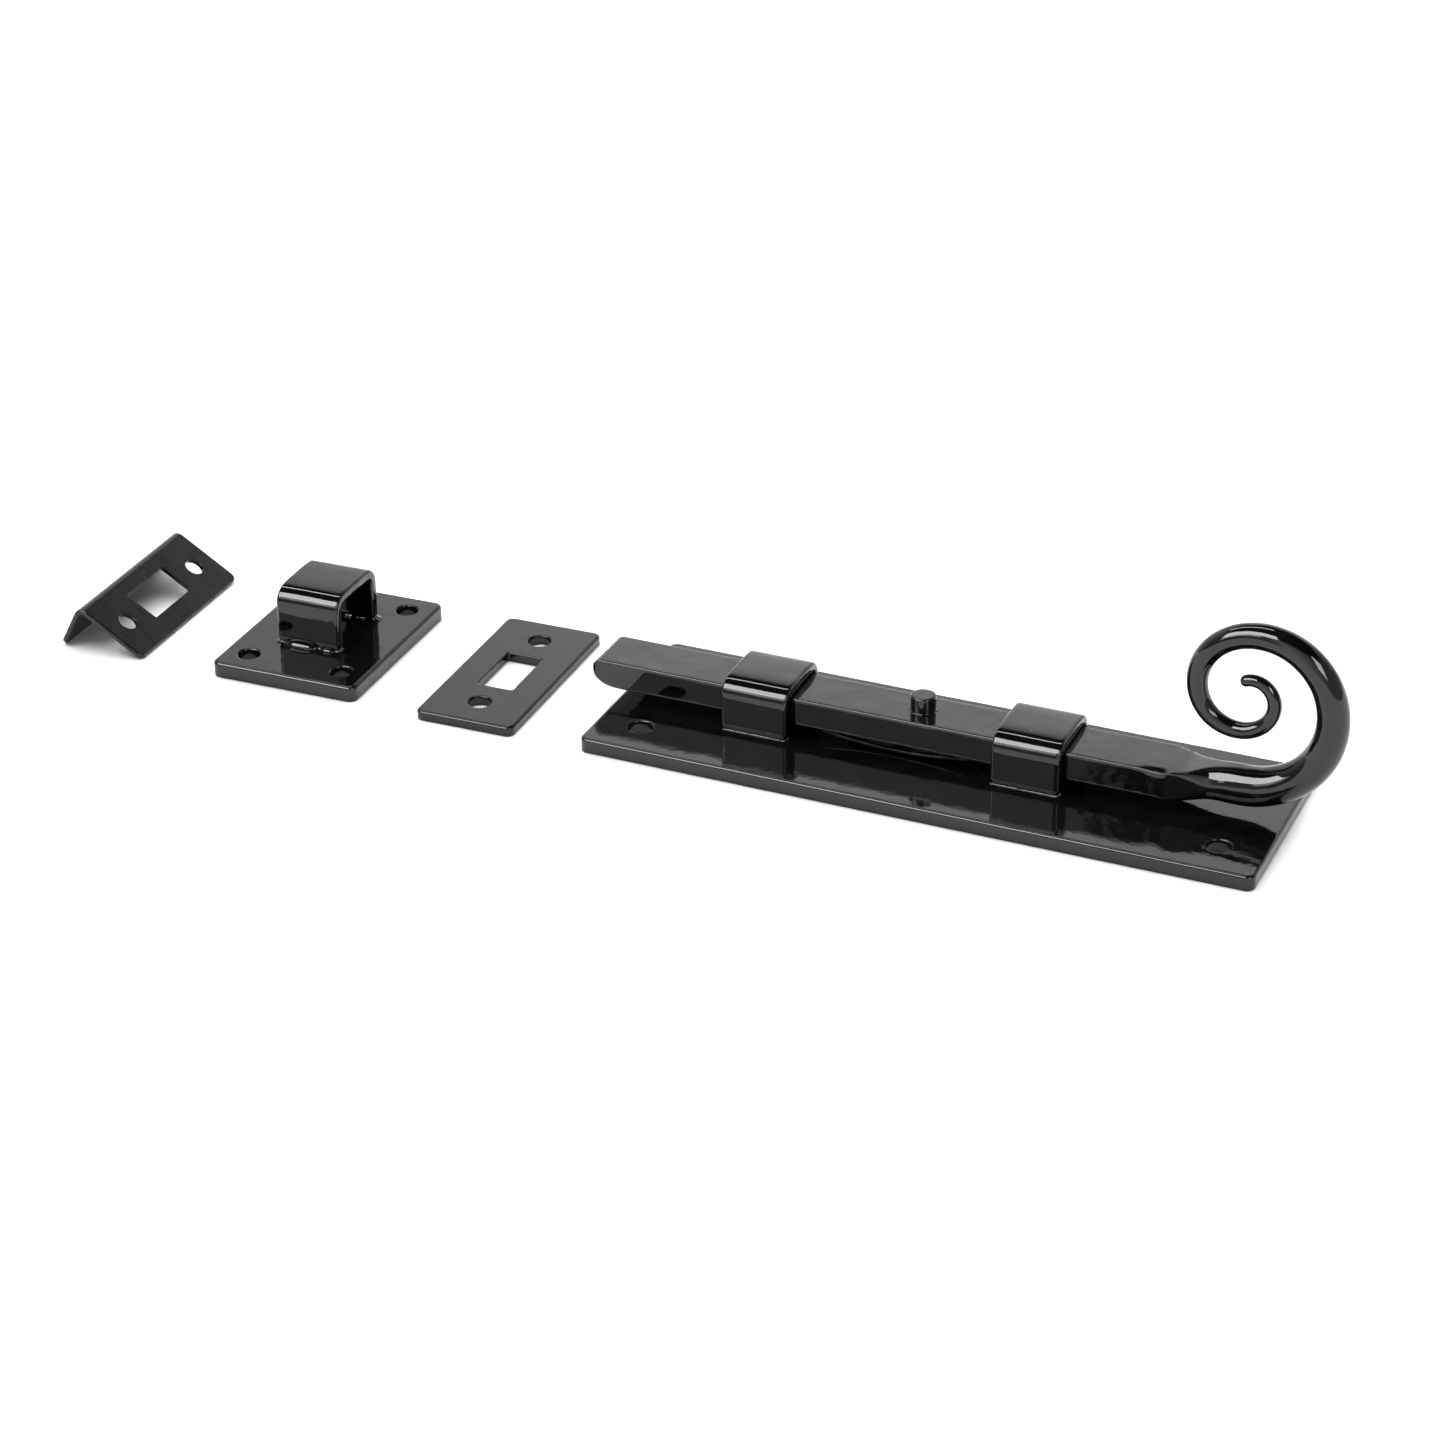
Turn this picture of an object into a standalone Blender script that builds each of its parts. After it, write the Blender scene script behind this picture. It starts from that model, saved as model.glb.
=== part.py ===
"""Hand-forged sliding door bolt with a scrolled tail, and its three alternative keeps.

Millimetre sizes are written in metres.  +X runs along the bolt towards the scroll, +Z is up,
and the origin is the centre of the back plate's underside.  The keeps lie in a row beyond the
bolt's nose, and everything rests on the plane z = 0.
"""

import math

import bmesh
import bpy
from mathutils import Matrix, Vector

# Clearance left between pieces that touch.
GAP = 0.0003

# Back plate: 6 in by 2 in, with four screw holes near its corners.
PLATE_LENGTH = 0.152
PLATE_WIDTH = 0.050
PLATE_THICKNESS = 0.0035
PLATE_CORNER = 0.0016
PLATE_HOLE_X = 0.0656
PLATE_HOLE_Y = 0.015
PLATE_HOLE_RADIUS = 0.0027

# Bolt bar, guided by the two staples a little above the plate.
BAR_NOSE_X = -0.0814
BAR_END_X = 0.049
BAR_WIDTH = 0.013
BAR_THICKNESS = 0.0065
BAR_BOTTOM = 0.0065
BAR_NOSE_TOP_RADIUS = 0.0023
BAR_NOSE_LEAD_LENGTH = 0.0058
BAR_EDGE = 0.0006

# Staples: strap bent over the bar, its tenons riveted through the plate.
STRAP_THICKNESS = 0.0024
STRAP_CORNER = 0.0031
STRAP_EDGE = 0.0005
STAPLE_LENGTH = 0.0155
STAPLE_WIDTH = 0.0189
STAPLE_TOP = 0.0157
FRONT_STAPLE_X = -0.0411
REAR_STAPLE_X = 0.0212
TENON_LENGTH = 0.008
TENON_THICKNESS = 0.0018
TENON_SHORT = 0.0002

# Stop pin, standing on the bar between the staples.
PIN_X = -0.0053
PIN_RADIUS = 0.0028
PIN_HEIGHT = 0.0037
PIN_SHANK_RADIUS = 0.0019
PIN_SHANK_DEPTH = 0.0045
PIN_CHAMFER = 0.0004

# Friction spring: a bowed leaf under the bar, riveted to the plate at its belly.
SPRING_LENGTH = 0.036
SPRING_WIDTH = 0.0095
SPRING_THICKNESS = 0.0007
SPRING_X = (FRONT_STAPLE_X + REAR_STAPLE_X) / 2
SPRING_HALF_STEPS = 12
RIVET_RADIUS = 0.0014
RIVET_HEAD_RADIUS = 0.0023
RIVET_HEAD_HEIGHT = 0.0008
RIVET_SIDES = 24
RIVET_DOME_STEP = math.radians(22.5)

# Scrolled tail: as flat as the bar at first, then a tapering round rod coiled in the XZ plane.
# The flat part is long enough to stay in the rear staple when the bolt is shot.
TAIL_ROOT_X = 0.056
TAIL_RISE_START_X = 0.0547
TAIL_RISE_END_X = 0.0605
TAIL_ROUND_START_X = 0.052
TAIL_ROUND_END_X = 0.066
TAIL_AXIS_LIFT = 0.0004
TAIL_ROOT_DIAMETER = 0.0093
TAIL_TIP_DIAMETER = 0.0027
SCROLL_X = 0.0656
SCROLL_Z = 0.0308
SCROLL_START_RADIUS = 0.01924
SCROLL_START_ANGLE = math.radians(-27.7)
SCROLL_SWEEP = math.radians(486)
SCROLL_SHRINK = 0.1374
SCROLL_TIGHTEN = 0.0067
TAIL_SIDES = 16
TAIL_RUN_STEPS = 14
TAIL_BEND_STEP = math.radians(10)
SCROLL_STEPS = 50
TAIL_TIP_ANGLES = (math.radians(30), math.radians(60))
TAIL_BLOCK_POWER = 9.0
TAIL_ROD_POWER = 2.0

# Row of keeps, laid out on a line a little off the bolt's own.
ROW_TWIST = math.radians(1.6)
FLAT_KEEP_PLACE = (-0.1047, -0.0008)
BRIDGE_KEEP_OFFSET = -0.0460
ANGLE_KEEP_OFFSET = -0.0987

# Flat keep: a plate with a window for the bolt's nose.
FLAT_KEEP_LENGTH = 0.0238
FLAT_KEEP_WIDTH = 0.0496
FLAT_KEEP_THICKNESS = 0.0024
FLAT_KEEP_CORNER = 0.0012
FLAT_KEEP_WINDOW = (0.0086, 0.0162)
FLAT_KEEP_HOLE_Y = 0.01595
FLAT_KEEP_HOLE_RADIUS = 0.0026

# Bridge keep: a plate with a staple riveted over it.
BRIDGE_PLATE_LENGTH = 0.0364
BRIDGE_PLATE_WIDTH = 0.0462
BRIDGE_PLATE_THICKNESS = 0.0038
BRIDGE_HOLE_X = 0.0118
BRIDGE_HOLE_Y = 0.0165
BRIDGE_HOLE_RADIUS = 0.0025
BRIDGE_STAPLE_SHIFT = (-0.0005, 0.0010)
BRIDGE_STAPLE_LENGTH = 0.0157
BRIDGE_STAPLE_WIDTH = 0.0197
BRIDGE_STAPLE_TOP = 0.0174

# Angle keep: bent sheet standing on its two free edges, ridge uppermost.
ANGLE_WIDTH = 0.0447
ANGLE_SHORT_LEG = 0.0120
ANGLE_LONG_LEG = 0.0191
ANGLE_THICKNESS = 0.0012
ANGLE_BEND = math.radians(86)
ANGLE_BEND_RADIUS = 0.0022
ANGLE_CORNER = 0.0017
ANGLE_CORNER_STEPS = 3
ANGLE_WINDOW = (0.0085, 0.0160)
ANGLE_WINDOW_CENTRE = 0.0096
ANGLE_HOLE_CENTRE = 0.0103
ANGLE_HOLE_Y = 0.0154
ANGLE_HOLE_RADIUS = 0.0022

# Finish of the plates' edges and of the holes' rims.
PLATE_EDGE = 0.0007
EDGE_STEPS = 2
RIM = 0.0003
CUT_OVERRUN = 0.002
HOLE_SIDES = 32
ARC_STEP = math.radians(15)
SHARP_EDGE = math.radians(35)
ROUNDED_EDGE = math.radians(40)

GLOSS_ENAMEL = ((0.012, 0.012, 0.013), 0.14, 0.0)
SATIN_ENAMEL = ((0.022, 0.022, 0.022), 0.38, 0.0)
SPRING_STEEL = ((0.16, 0.14, 0.12), 0.35, 1.0)


def clear_scene():
    for item in list(bpy.data.objects):
        bpy.data.objects.remove(item, do_unlink=True)


def make_material(name, finish):
    colour, roughness, metallic = finish
    material = bpy.data.materials.new(name)
    material.use_nodes = True
    shader = material.node_tree.nodes["Principled BSDF"]
    shader.inputs["Base Color"].default_value = (*colour, 1.0)
    shader.inputs["Roughness"].default_value = roughness
    shader.inputs["Metallic"].default_value = metallic
    return material


def make_object(name, bm, finish=None, parent=None, place=(0, 0, 0)):
    """Turns a bmesh into a named object; a piece with no finish is a cutter."""
    bmesh.ops.recalc_face_normals(bm, faces=bm.faces[:])
    mesh = bpy.data.meshes.new(name)
    bm.to_mesh(mesh)
    bm.free()
    mesh.shade_smooth()
    mesh.set_sharp_from_angle(angle=SHARP_EDGE)
    piece = bpy.data.objects.new(name, mesh)
    bpy.context.scene.collection.objects.link(piece)
    piece.location = place
    piece.parent = parent
    if finish is None:
        piece.hide_render = True
        piece.display_type = "WIRE"
    else:
        mesh.materials.append(make_material(name, finish))
    return piece


def make_empty(name, place, turn=0.0, parent=None):
    empty = bpy.data.objects.new(name, None)
    bpy.context.scene.collection.objects.link(empty)
    empty.location = place
    empty.rotation_euler = (0, 0, turn)
    empty.parent = parent
    return empty


def cut(piece, cutter):
    modifier = piece.modifiers.new(cutter.name, "BOOLEAN")
    modifier.operation = "DIFFERENCE"
    modifier.solver = "EXACT"
    modifier.object = cutter


def round_edges(piece, width):
    modifier = piece.modifiers.new("rounded edges", "BEVEL")
    modifier.width = width
    modifier.segments = EDGE_STEPS
    modifier.limit_method = "ANGLE"
    modifier.angle_limit = ROUNDED_EDGE


def arc(centre, radius, start, end, step=ARC_STEP):
    """Points along a circle, both ends included."""
    count = max(1, round(abs(end - start) / step))
    points = []
    for i in range(count + 1):
        angle = start + (end - start) * i / count
        points.append((centre[0] + radius * math.cos(angle), centre[1] + radius * math.sin(angle)))
    return points


def rounded_rectangle(length, width, radius, step=ARC_STEP * 2):
    outline = []
    for quarter, (sx, sy) in enumerate(((1, 1), (-1, 1), (-1, -1), (1, -1))):
        centre = (sx * (length / 2 - radius), sy * (width / 2 - radius))
        start = quarter * math.pi / 2
        outline += arc(centre, radius, start, start + math.pi / 2, step)
    return outline


def extrude(bm, outline, direction, to_space):
    """Adds the solid that a closed outline sweeps along a direction."""
    low = [bm.verts.new(to_space(u, v)) for u, v in outline]
    high = [bm.verts.new(to_space(u, v) + direction) for u, v in outline]
    bm.faces.new(low)
    bm.faces.new(high)
    for i in range(len(outline)):
        j = (i + 1) % len(outline)
        bm.faces.new((low[i], low[j], high[j], high[i]))


def slab(bm, outline, low, high):
    extrude(bm, outline, Vector((0, 0, high - low)), lambda x, y: Vector((x, y, low)))


def shifted(outline, x, y):
    return [(u + x, v + y) for u, v in outline]


def turned(bm, profile, x=0.0, y=0.0, sides=HOLE_SIDES):
    """Adds a solid turned about a vertical axis; the profile runs (radius, height), axis to axis."""
    rings = []
    for radius, height in profile:
        if radius == 0:
            rings.append([bm.verts.new((x, y, height))])
            continue
        circle = [2 * math.pi * i / sides for i in range(sides)]
        ring = [(x + radius * math.cos(a), y + radius * math.sin(a), height) for a in circle]
        rings.append([bm.verts.new(point) for point in ring])
    for lower, upper in zip(rings, rings[1:]):
        for i in range(sides):
            j = (i + 1) % sides
            corners = [lower[i % len(lower)], lower[j % len(lower)]]
            corners += [upper[j % len(upper)], upper[i % len(upper)]]
            bm.faces.new(list(dict.fromkeys(corners)))


def loft(bm, rings):
    """Joins closed rings of equal length into one solid with flat ends."""
    loops = [[bm.verts.new(point) for point in ring] for ring in rings]
    bm.faces.new(loops[0])
    bm.faces.new(loops[-1])
    for first, second in zip(loops, loops[1:]):
        for i in range(len(first)):
            j = (i + 1) % len(first)
            bm.faces.new((first[i], first[j], second[j], second[i]))


def strap_ring(centre, across, half_width, half_thickness, chamfer):
    """Chamfered cross-section of a strap that is half_width wide along X."""
    ring = []
    for su, sv in ((1, 1), (-1, 1), (-1, -1), (1, -1)):
        near_u = (su * (half_width - chamfer), sv * half_thickness)
        near_v = (su * half_width, sv * (half_thickness - chamfer))
        ring += [near_v, near_u] if su * sv > 0 else [near_u, near_v]
    return [centre + Vector((u, 0, 0)) + across * v for u, v in ring]


def hole_cutter(bm, places, radius, top):
    profile = [(0, -CUT_OVERRUN), (radius, -CUT_OVERRUN), (radius, top - RIM), (radius + RIM, top)]
    profile += [(radius + RIM, top + CUT_OVERRUN), (0, top + CUT_OVERRUN)]
    for x, y in places:
        turned(bm, profile, x, y)


def slot_cutter(bm, staple_x, staple_y, width, top):
    """Slots for a staple's two tenons, each one clearance larger than its tenon."""
    size = (TENON_LENGTH + 2 * GAP, TENON_THICKNESS + 2 * GAP)
    leg = (width - STRAP_THICKNESS) / 2
    for side in (-1, 1):
        outline = rounded_rectangle(*size, RIM)
        slab(bm, shifted(outline, staple_x, staple_y + side * leg), -CUT_OVERRUN, top + CUT_OVERRUN)


def staple(name, length, width, top, foot, parent, place=(0, 0, 0)):
    """Strap bent into a bridge, with a narrower tenon below each foot."""
    half = STRAP_THICKNESS / 2
    leg = (width - STRAP_THICKNESS) / 2
    bend = STRAP_CORNER - half
    shoulder = foot + GAP
    rings = []
    down = Vector((0, 0, -1))
    for side in (-1, 1):
        across = Vector((0, side, 0))
        tenon = [strap_ring(Vector((0, side * leg, z)), across, TENON_LENGTH / 2, TENON_THICKNESS / 2, RIM)
                 for z in (TENON_SHORT, shoulder)]
        strap = [strap_ring(Vector((0, side * leg, shoulder)), across, length / 2, half, STRAP_EDGE)]
        for y, z in arc((leg - bend, top - half - bend), bend, 0, math.pi / 2):
            outward = Vector((0, side * (y - leg + bend), z - top + half + bend)).normalized()
            strap.append(strap_ring(Vector((0, side * y, z)), outward, length / 2, half, STRAP_EDGE))
        leg_rings = tenon + strap
        rings += leg_rings if side < 0 else leg_rings[::-1]
    bm = bmesh.new()
    loft(bm, rings)
    return make_object(name, bm, GLOSS_ENAMEL, parent, place)


def build_back_plate(parent):
    bm = bmesh.new()
    slab(bm, rounded_rectangle(PLATE_LENGTH, PLATE_WIDTH, PLATE_CORNER), 0, PLATE_THICKNESS)
    plate = make_object("back_plate", bm, GLOSS_ENAMEL, parent)
    round_edges(plate, PLATE_EDGE)
    bm = bmesh.new()
    corners = [(sx * PLATE_HOLE_X, sy * PLATE_HOLE_Y) for sx in (-1, 1) for sy in (-1, 1)]
    hole_cutter(bm, corners, PLATE_HOLE_RADIUS, PLATE_THICKNESS)
    for staple_x in (FRONT_STAPLE_X, REAR_STAPLE_X):
        slot_cutter(bm, staple_x, 0, STAPLE_WIDTH, PLATE_THICKNESS)
    hole_cutter(bm, [(SPRING_X, 0)], RIVET_RADIUS + GAP, PLATE_THICKNESS)
    cut(plate, make_object("back_plate_cutter", bm, parent=parent))


def nose_outline():
    """Side view of the bar: nose blunt above and eased into a long lead below."""
    top = BAR_BOTTOM + BAR_THICKNESS
    upper = (BAR_NOSE_X + BAR_NOSE_TOP_RADIUS, top - BAR_NOSE_TOP_RADIUS)
    lead_height = BAR_THICKNESS - BAR_NOSE_TOP_RADIUS
    outline = [(BAR_END_X, BAR_BOTTOM), (BAR_END_X, top)]
    outline += arc(upper, BAR_NOSE_TOP_RADIUS, math.pi / 2, math.pi)
    for x, z in arc((0, 0), 1, math.pi, 3 * math.pi / 2)[1:]:
        outline.append((BAR_NOSE_X + BAR_NOSE_LEAD_LENGTH * (1 + x), upper[1] + lead_height * z))
    return outline


def build_bolt_bar(parent):
    bm = bmesh.new()
    side = -BAR_WIDTH / 2
    extrude(bm, nose_outline(), Vector((0, BAR_WIDTH, 0)), lambda x, z: Vector((x, side, z)))
    bar = make_object("bolt_bar", bm, GLOSS_ENAMEL, parent)
    round_edges(bar, BAR_EDGE)
    top = BAR_BOTTOM + BAR_THICKNESS
    depth = top - PIN_SHANK_DEPTH - GAP
    radius = PIN_SHANK_RADIUS + GAP
    bm = bmesh.new()
    turned(bm, [(0, depth), (radius, depth), (radius, top + CUT_OVERRUN), (0, top + CUT_OVERRUN)], PIN_X)
    cut(bar, make_object("bolt_bar_cutter", bm, parent=parent))


def build_stop_pin(parent):
    seat = BAR_BOTTOM + BAR_THICKNESS + GAP
    top = BAR_BOTTOM + BAR_THICKNESS + PIN_HEIGHT
    shank_end = BAR_BOTTOM + BAR_THICKNESS - PIN_SHANK_DEPTH
    profile = [(0, shank_end), (PIN_SHANK_RADIUS, shank_end), (PIN_SHANK_RADIUS, seat), (PIN_RADIUS, seat)]
    profile += [(PIN_RADIUS, top - PIN_CHAMFER), (PIN_RADIUS - PIN_CHAMFER, top), (0, top)]
    bm = bmesh.new()
    turned(bm, profile)
    make_object("stop_pin", bm, GLOSS_ENAMEL, parent, (PIN_X, 0, 0))


def smooth(value, start, end):
    """Eased step from 0 at start to 1 at end."""
    t = min(1.0, max(0.0, (value - start) / (end - start)))
    return t * t * (3 - 2 * t)


def scroll_radius(turn):
    return SCROLL_START_RADIUS * math.exp(-SCROLL_SHRINK * turn - SCROLL_TIGHTEN * turn * turn)


def scroll_point(turn):
    angle = SCROLL_START_ANGLE + turn
    radius = scroll_radius(turn)
    return Vector((SCROLL_X + radius * math.cos(angle), 0, SCROLL_Z + radius * math.sin(angle)))


def tail_centre_line():
    """Straight run from the bar, an arc up to the scroll, then the scroll to its tip."""
    bar_z = BAR_BOTTOM + BAR_THICKNESS / 2
    axis_z = bar_z + TAIL_AXIS_LIFT
    start = scroll_point(0)
    heading = math.pi / 2 + SCROLL_START_ANGLE + math.atan(SCROLL_SHRINK)
    radius = (start.z - axis_z) / (1 - math.cos(heading))
    arc_x = start.x - radius * math.sin(heading)
    run_start = BAR_END_X + GAP
    points = []
    for i in range(TAIL_RUN_STEPS):
        x = run_start + (arc_x - run_start) * i / TAIL_RUN_STEPS
        lift = TAIL_AXIS_LIFT * smooth(x, TAIL_RISE_START_X, TAIL_RISE_END_X)
        points.append(Vector((x, 0, bar_z + lift)))
    bend = arc((arc_x, axis_z + radius), radius, -math.pi / 2, heading - math.pi / 2, TAIL_BEND_STEP)
    points += [Vector((x, 0, z)) for x, z in bend[:-1]]
    points += [scroll_point(SCROLL_SWEEP * i / SCROLL_STEPS) for i in range(SCROLL_STEPS + 1)]
    return points


def tail_rings():
    """Sections along the tail: the bar's rectangle first, blending to a tapering circle."""
    line = tail_centre_line()
    travelled = [0.0]
    for before, after in zip(line, line[1:]):
        travelled.append(travelled[-1] + (after - before).length)
    root = TAIL_ROOT_X - line[0].x
    rings = []
    for i, point in enumerate(line):
        ahead = line[min(i + 1, len(line) - 1)]
        behind = line[max(i - 1, 0)]
        forward = (ahead - behind).normalized()
        up = Vector((-forward.z, 0, forward.x))
        along = max(0.0, travelled[i] - root) / (travelled[-1] - root)
        rod = (TAIL_ROOT_DIAMETER + (TAIL_TIP_DIAMETER - TAIL_ROOT_DIAMETER) * along) / 2
        straight_x = line[0].x + travelled[i]
        narrowed = smooth(straight_x, line[0].x, TAIL_ROOT_X)
        raised = smooth(straight_x, TAIL_RISE_START_X, TAIL_RISE_END_X)
        half_width = BAR_WIDTH / 2 + (rod - BAR_WIDTH / 2) * narrowed
        half_height = BAR_THICKNESS / 2 + (rod - BAR_THICKNESS / 2) * raised
        rounded = smooth(straight_x, TAIL_ROUND_START_X, TAIL_ROUND_END_X)
        power = TAIL_BLOCK_POWER + (TAIL_ROD_POWER - TAIL_BLOCK_POWER) * rounded
        rings.append(oval_ring(point, up, half_width, half_height, power))
    tip = line[-1]
    forward = (line[-1] - line[-2]).normalized()
    up = Vector((-forward.z, 0, forward.x))
    rod = TAIL_TIP_DIAMETER / 2
    for angle in TAIL_TIP_ANGLES:
        radius = rod * math.cos(angle)
        rings.append(oval_ring(tip + forward * rod * math.sin(angle), up, radius, radius, TAIL_ROD_POWER))
    return rings


def oval_ring(centre, up, half_width, half_height, power):
    """Cross-section between an ellipse (power 2) and a rounded rectangle (high power)."""
    ring = []
    for i in range(TAIL_SIDES):
        angle = 2 * math.pi * i / TAIL_SIDES
        u = math.copysign(abs(math.cos(angle)) ** (2 / power), math.cos(angle)) * half_width
        v = math.copysign(abs(math.sin(angle)) ** (2 / power), math.sin(angle)) * half_height
        ring.append(centre + Vector((0, u, 0)) + up * v)
    return ring


def build_tail(parent):
    bm = bmesh.new()
    loft(bm, tail_rings())
    make_object("scroll_tail", bm, GLOSS_ENAMEL, parent)


def build_spring(parent):
    """Bowed leaf: its belly rests on the plate and its ends press up under the bar."""
    belly = PLATE_THICKNESS + GAP + SPRING_THICKNESS / 2
    ends = BAR_BOTTOM - GAP - SPRING_THICKNESS / 2
    rise = ends - belly
    radius = ((SPRING_LENGTH / 2) ** 2 + rise ** 2) / (2 * rise)
    reach = math.asin(SPRING_LENGTH / 2 / radius)
    rings = []
    step = reach / SPRING_HALF_STEPS
    for x, z in arc((0, belly + radius), radius, -math.pi / 2 - reach, -math.pi / 2 + reach, step):
        across = Vector((-x, 0, belly + radius - z)).normalized()
        corners = ((1, 1), (-1, 1), (-1, -1), (1, -1))
        rings.append([Vector((x, s * SPRING_WIDTH / 2, z)) + across * t * SPRING_THICKNESS / 2
                      for s, t in corners])
    bm = bmesh.new()
    loft(bm, rings)
    spring = make_object("friction_spring", bm, SPRING_STEEL, parent, (SPRING_X, 0, 0))
    bm = bmesh.new()
    hole = RIVET_RADIUS + GAP
    turned(bm, [(0, 0), (hole, 0), (hole, BAR_BOTTOM), (0, BAR_BOTTOM)])
    cut(spring, make_object("friction_spring_cutter", bm, parent=parent, place=(SPRING_X, 0, 0)))


def build_spring_rivet(parent):
    seat = PLATE_THICKNESS + 2 * GAP + SPRING_THICKNESS
    profile = [(0, TENON_SHORT), (RIVET_RADIUS, TENON_SHORT), (RIVET_RADIUS, seat)]
    for x, z in arc((0, 0), 1, 0, math.pi / 2, RIVET_DOME_STEP)[:-1]:
        profile.append((RIVET_HEAD_RADIUS * x, seat + RIVET_HEAD_HEIGHT * z))
    profile.append((0, seat + RIVET_HEAD_HEIGHT))
    bm = bmesh.new()
    turned(bm, profile, sides=RIVET_SIDES)
    make_object("spring_rivet", bm, SPRING_STEEL, parent, (SPRING_X, 0, 0))


def build_flat_keep(parent):
    bm = bmesh.new()
    outline = rounded_rectangle(FLAT_KEEP_LENGTH, FLAT_KEEP_WIDTH, FLAT_KEEP_CORNER)
    slab(bm, outline, 0, FLAT_KEEP_THICKNESS)
    plate = make_object("flat_keep_plate", bm, SATIN_ENAMEL, parent)
    round_edges(plate, PLATE_EDGE)
    bm = bmesh.new()
    window = rounded_rectangle(*FLAT_KEEP_WINDOW, RIM)
    slab(bm, window, -CUT_OVERRUN, FLAT_KEEP_THICKNESS + CUT_OVERRUN)
    holes = [(0, -FLAT_KEEP_HOLE_Y), (0, FLAT_KEEP_HOLE_Y)]
    hole_cutter(bm, holes, FLAT_KEEP_HOLE_RADIUS, FLAT_KEEP_THICKNESS)
    cut(plate, make_object("flat_keep_cutter", bm, parent=parent))


def build_bridge_keep(parent):
    bm = bmesh.new()
    outline = rounded_rectangle(BRIDGE_PLATE_LENGTH, BRIDGE_PLATE_WIDTH, PLATE_CORNER)
    slab(bm, outline, 0, BRIDGE_PLATE_THICKNESS)
    plate = make_object("bridge_keep_plate", bm, GLOSS_ENAMEL, parent)
    round_edges(plate, PLATE_EDGE)
    bm = bmesh.new()
    corners = [(sx * BRIDGE_HOLE_X, sy * BRIDGE_HOLE_Y) for sx in (-1, 1) for sy in (-1, 1)]
    hole_cutter(bm, corners, BRIDGE_HOLE_RADIUS, BRIDGE_PLATE_THICKNESS)
    slot_cutter(bm, *BRIDGE_STAPLE_SHIFT, BRIDGE_STAPLE_WIDTH, BRIDGE_PLATE_THICKNESS)
    cut(plate, make_object("bridge_keep_cutter", bm, parent=parent))
    size = (BRIDGE_STAPLE_LENGTH, BRIDGE_STAPLE_WIDTH, BRIDGE_STAPLE_TOP)
    place = (*BRIDGE_STAPLE_SHIFT, 0)
    staple("bridge_keep_staple", *size, BRIDGE_PLATE_THICKNESS, parent, place)


def angle_section():
    """Outline of the angle with its long leg along +u and its outer faces meeting at (0, 0)."""
    t = ANGLE_THICKNESS
    leg = Vector((math.cos(ANGLE_BEND), -math.sin(ANGLE_BEND)))
    out = Vector((-math.sin(ANGLE_BEND), -math.cos(ANGLE_BEND)))
    tangent = ANGLE_BEND_RADIUS / math.tan(ANGLE_BEND / 2)
    centre = (tangent, -ANGLE_BEND_RADIUS)
    short_end = leg * ANGLE_SHORT_LEG
    outer = arc(centre, ANGLE_BEND_RADIUS, math.pi / 2, 3 * math.pi / 2 - ANGLE_BEND)
    inner = arc(centre, ANGLE_BEND_RADIUS - t, 3 * math.pi / 2 - ANGLE_BEND, math.pi / 2)
    outline = [(ANGLE_LONG_LEG, -t), (ANGLE_LONG_LEG, 0)]
    outline += outer + [tuple(short_end), tuple(short_end - out * t)] + inner
    return outline


def angle_stance():
    """Turn about Y and ridge height that stand the angle on its two inner end corners."""
    t = ANGLE_THICKNESS
    long_foot = Vector((ANGLE_LONG_LEG, -t))
    short_foot = Vector((ANGLE_SHORT_LEG * math.cos(ANGLE_BEND) + t * math.sin(ANGLE_BEND),
                         -ANGLE_SHORT_LEG * math.sin(ANGLE_BEND) + t * math.cos(ANGLE_BEND)))
    span = long_foot - short_foot
    tilt = math.atan2(span.y, span.x)
    height = -(long_foot.y * math.cos(tilt) - long_foot.x * math.sin(tilt))
    return tilt, height


def build_angle_keep(parent):
    tilt, height = angle_stance()
    stance = Matrix.Translation((0, 0, height)) @ Matrix.Rotation(tilt, 4, "Y")
    half = ANGLE_WIDTH / 2
    bm = bmesh.new()
    extrude(bm, angle_section(), Vector((0, ANGLE_WIDTH, 0)), lambda u, w: Vector((u, -half, w)))
    corners = [edge for edge in bm.edges if free_corner(edge)]
    bmesh.ops.bevel(bm, geom=corners, offset=ANGLE_CORNER, segments=ANGLE_CORNER_STEPS, affect="EDGES",
                     profile=0.5)
    bmesh.ops.transform(bm, matrix=stance, verts=bm.verts[:])
    sheet = make_object("angle_keep_plate", bm, SATIN_ENAMEL, parent)
    bm = bmesh.new()
    low = -ANGLE_THICKNESS - CUT_OVERRUN
    window = shifted(rounded_rectangle(*ANGLE_WINDOW, RIM), ANGLE_WINDOW_CENTRE, 0)
    slab(bm, window, low, CUT_OVERRUN)
    bore = [(0, low), (ANGLE_HOLE_RADIUS, low), (ANGLE_HOLE_RADIUS, CUT_OVERRUN), (0, CUT_OVERRUN)]
    for side in (-1, 1):
        turned(bm, bore, ANGLE_HOLE_CENTRE, side * ANGLE_HOLE_Y)
    bmesh.ops.transform(bm, matrix=stance, verts=bm.verts[:])
    cut(sheet, make_object("angle_keep_cutter", bm, parent=parent))


def free_corner(edge):
    """True for the four short edges through the sheet at the legs' free corners."""
    ends = [vertex.co for vertex in edge.verts]
    at_side = all(abs(abs(end.y) - ANGLE_WIDTH / 2) < GAP / 10 for end in ends)
    through = abs((ends[1] - ends[0]).length - ANGLE_THICKNESS) < GAP / 10
    far = min((end - Vector((0, end.y, 0))).length for end in ends) > ANGLE_SHORT_LEG - 2 * GAP
    return at_side and through and far


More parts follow.
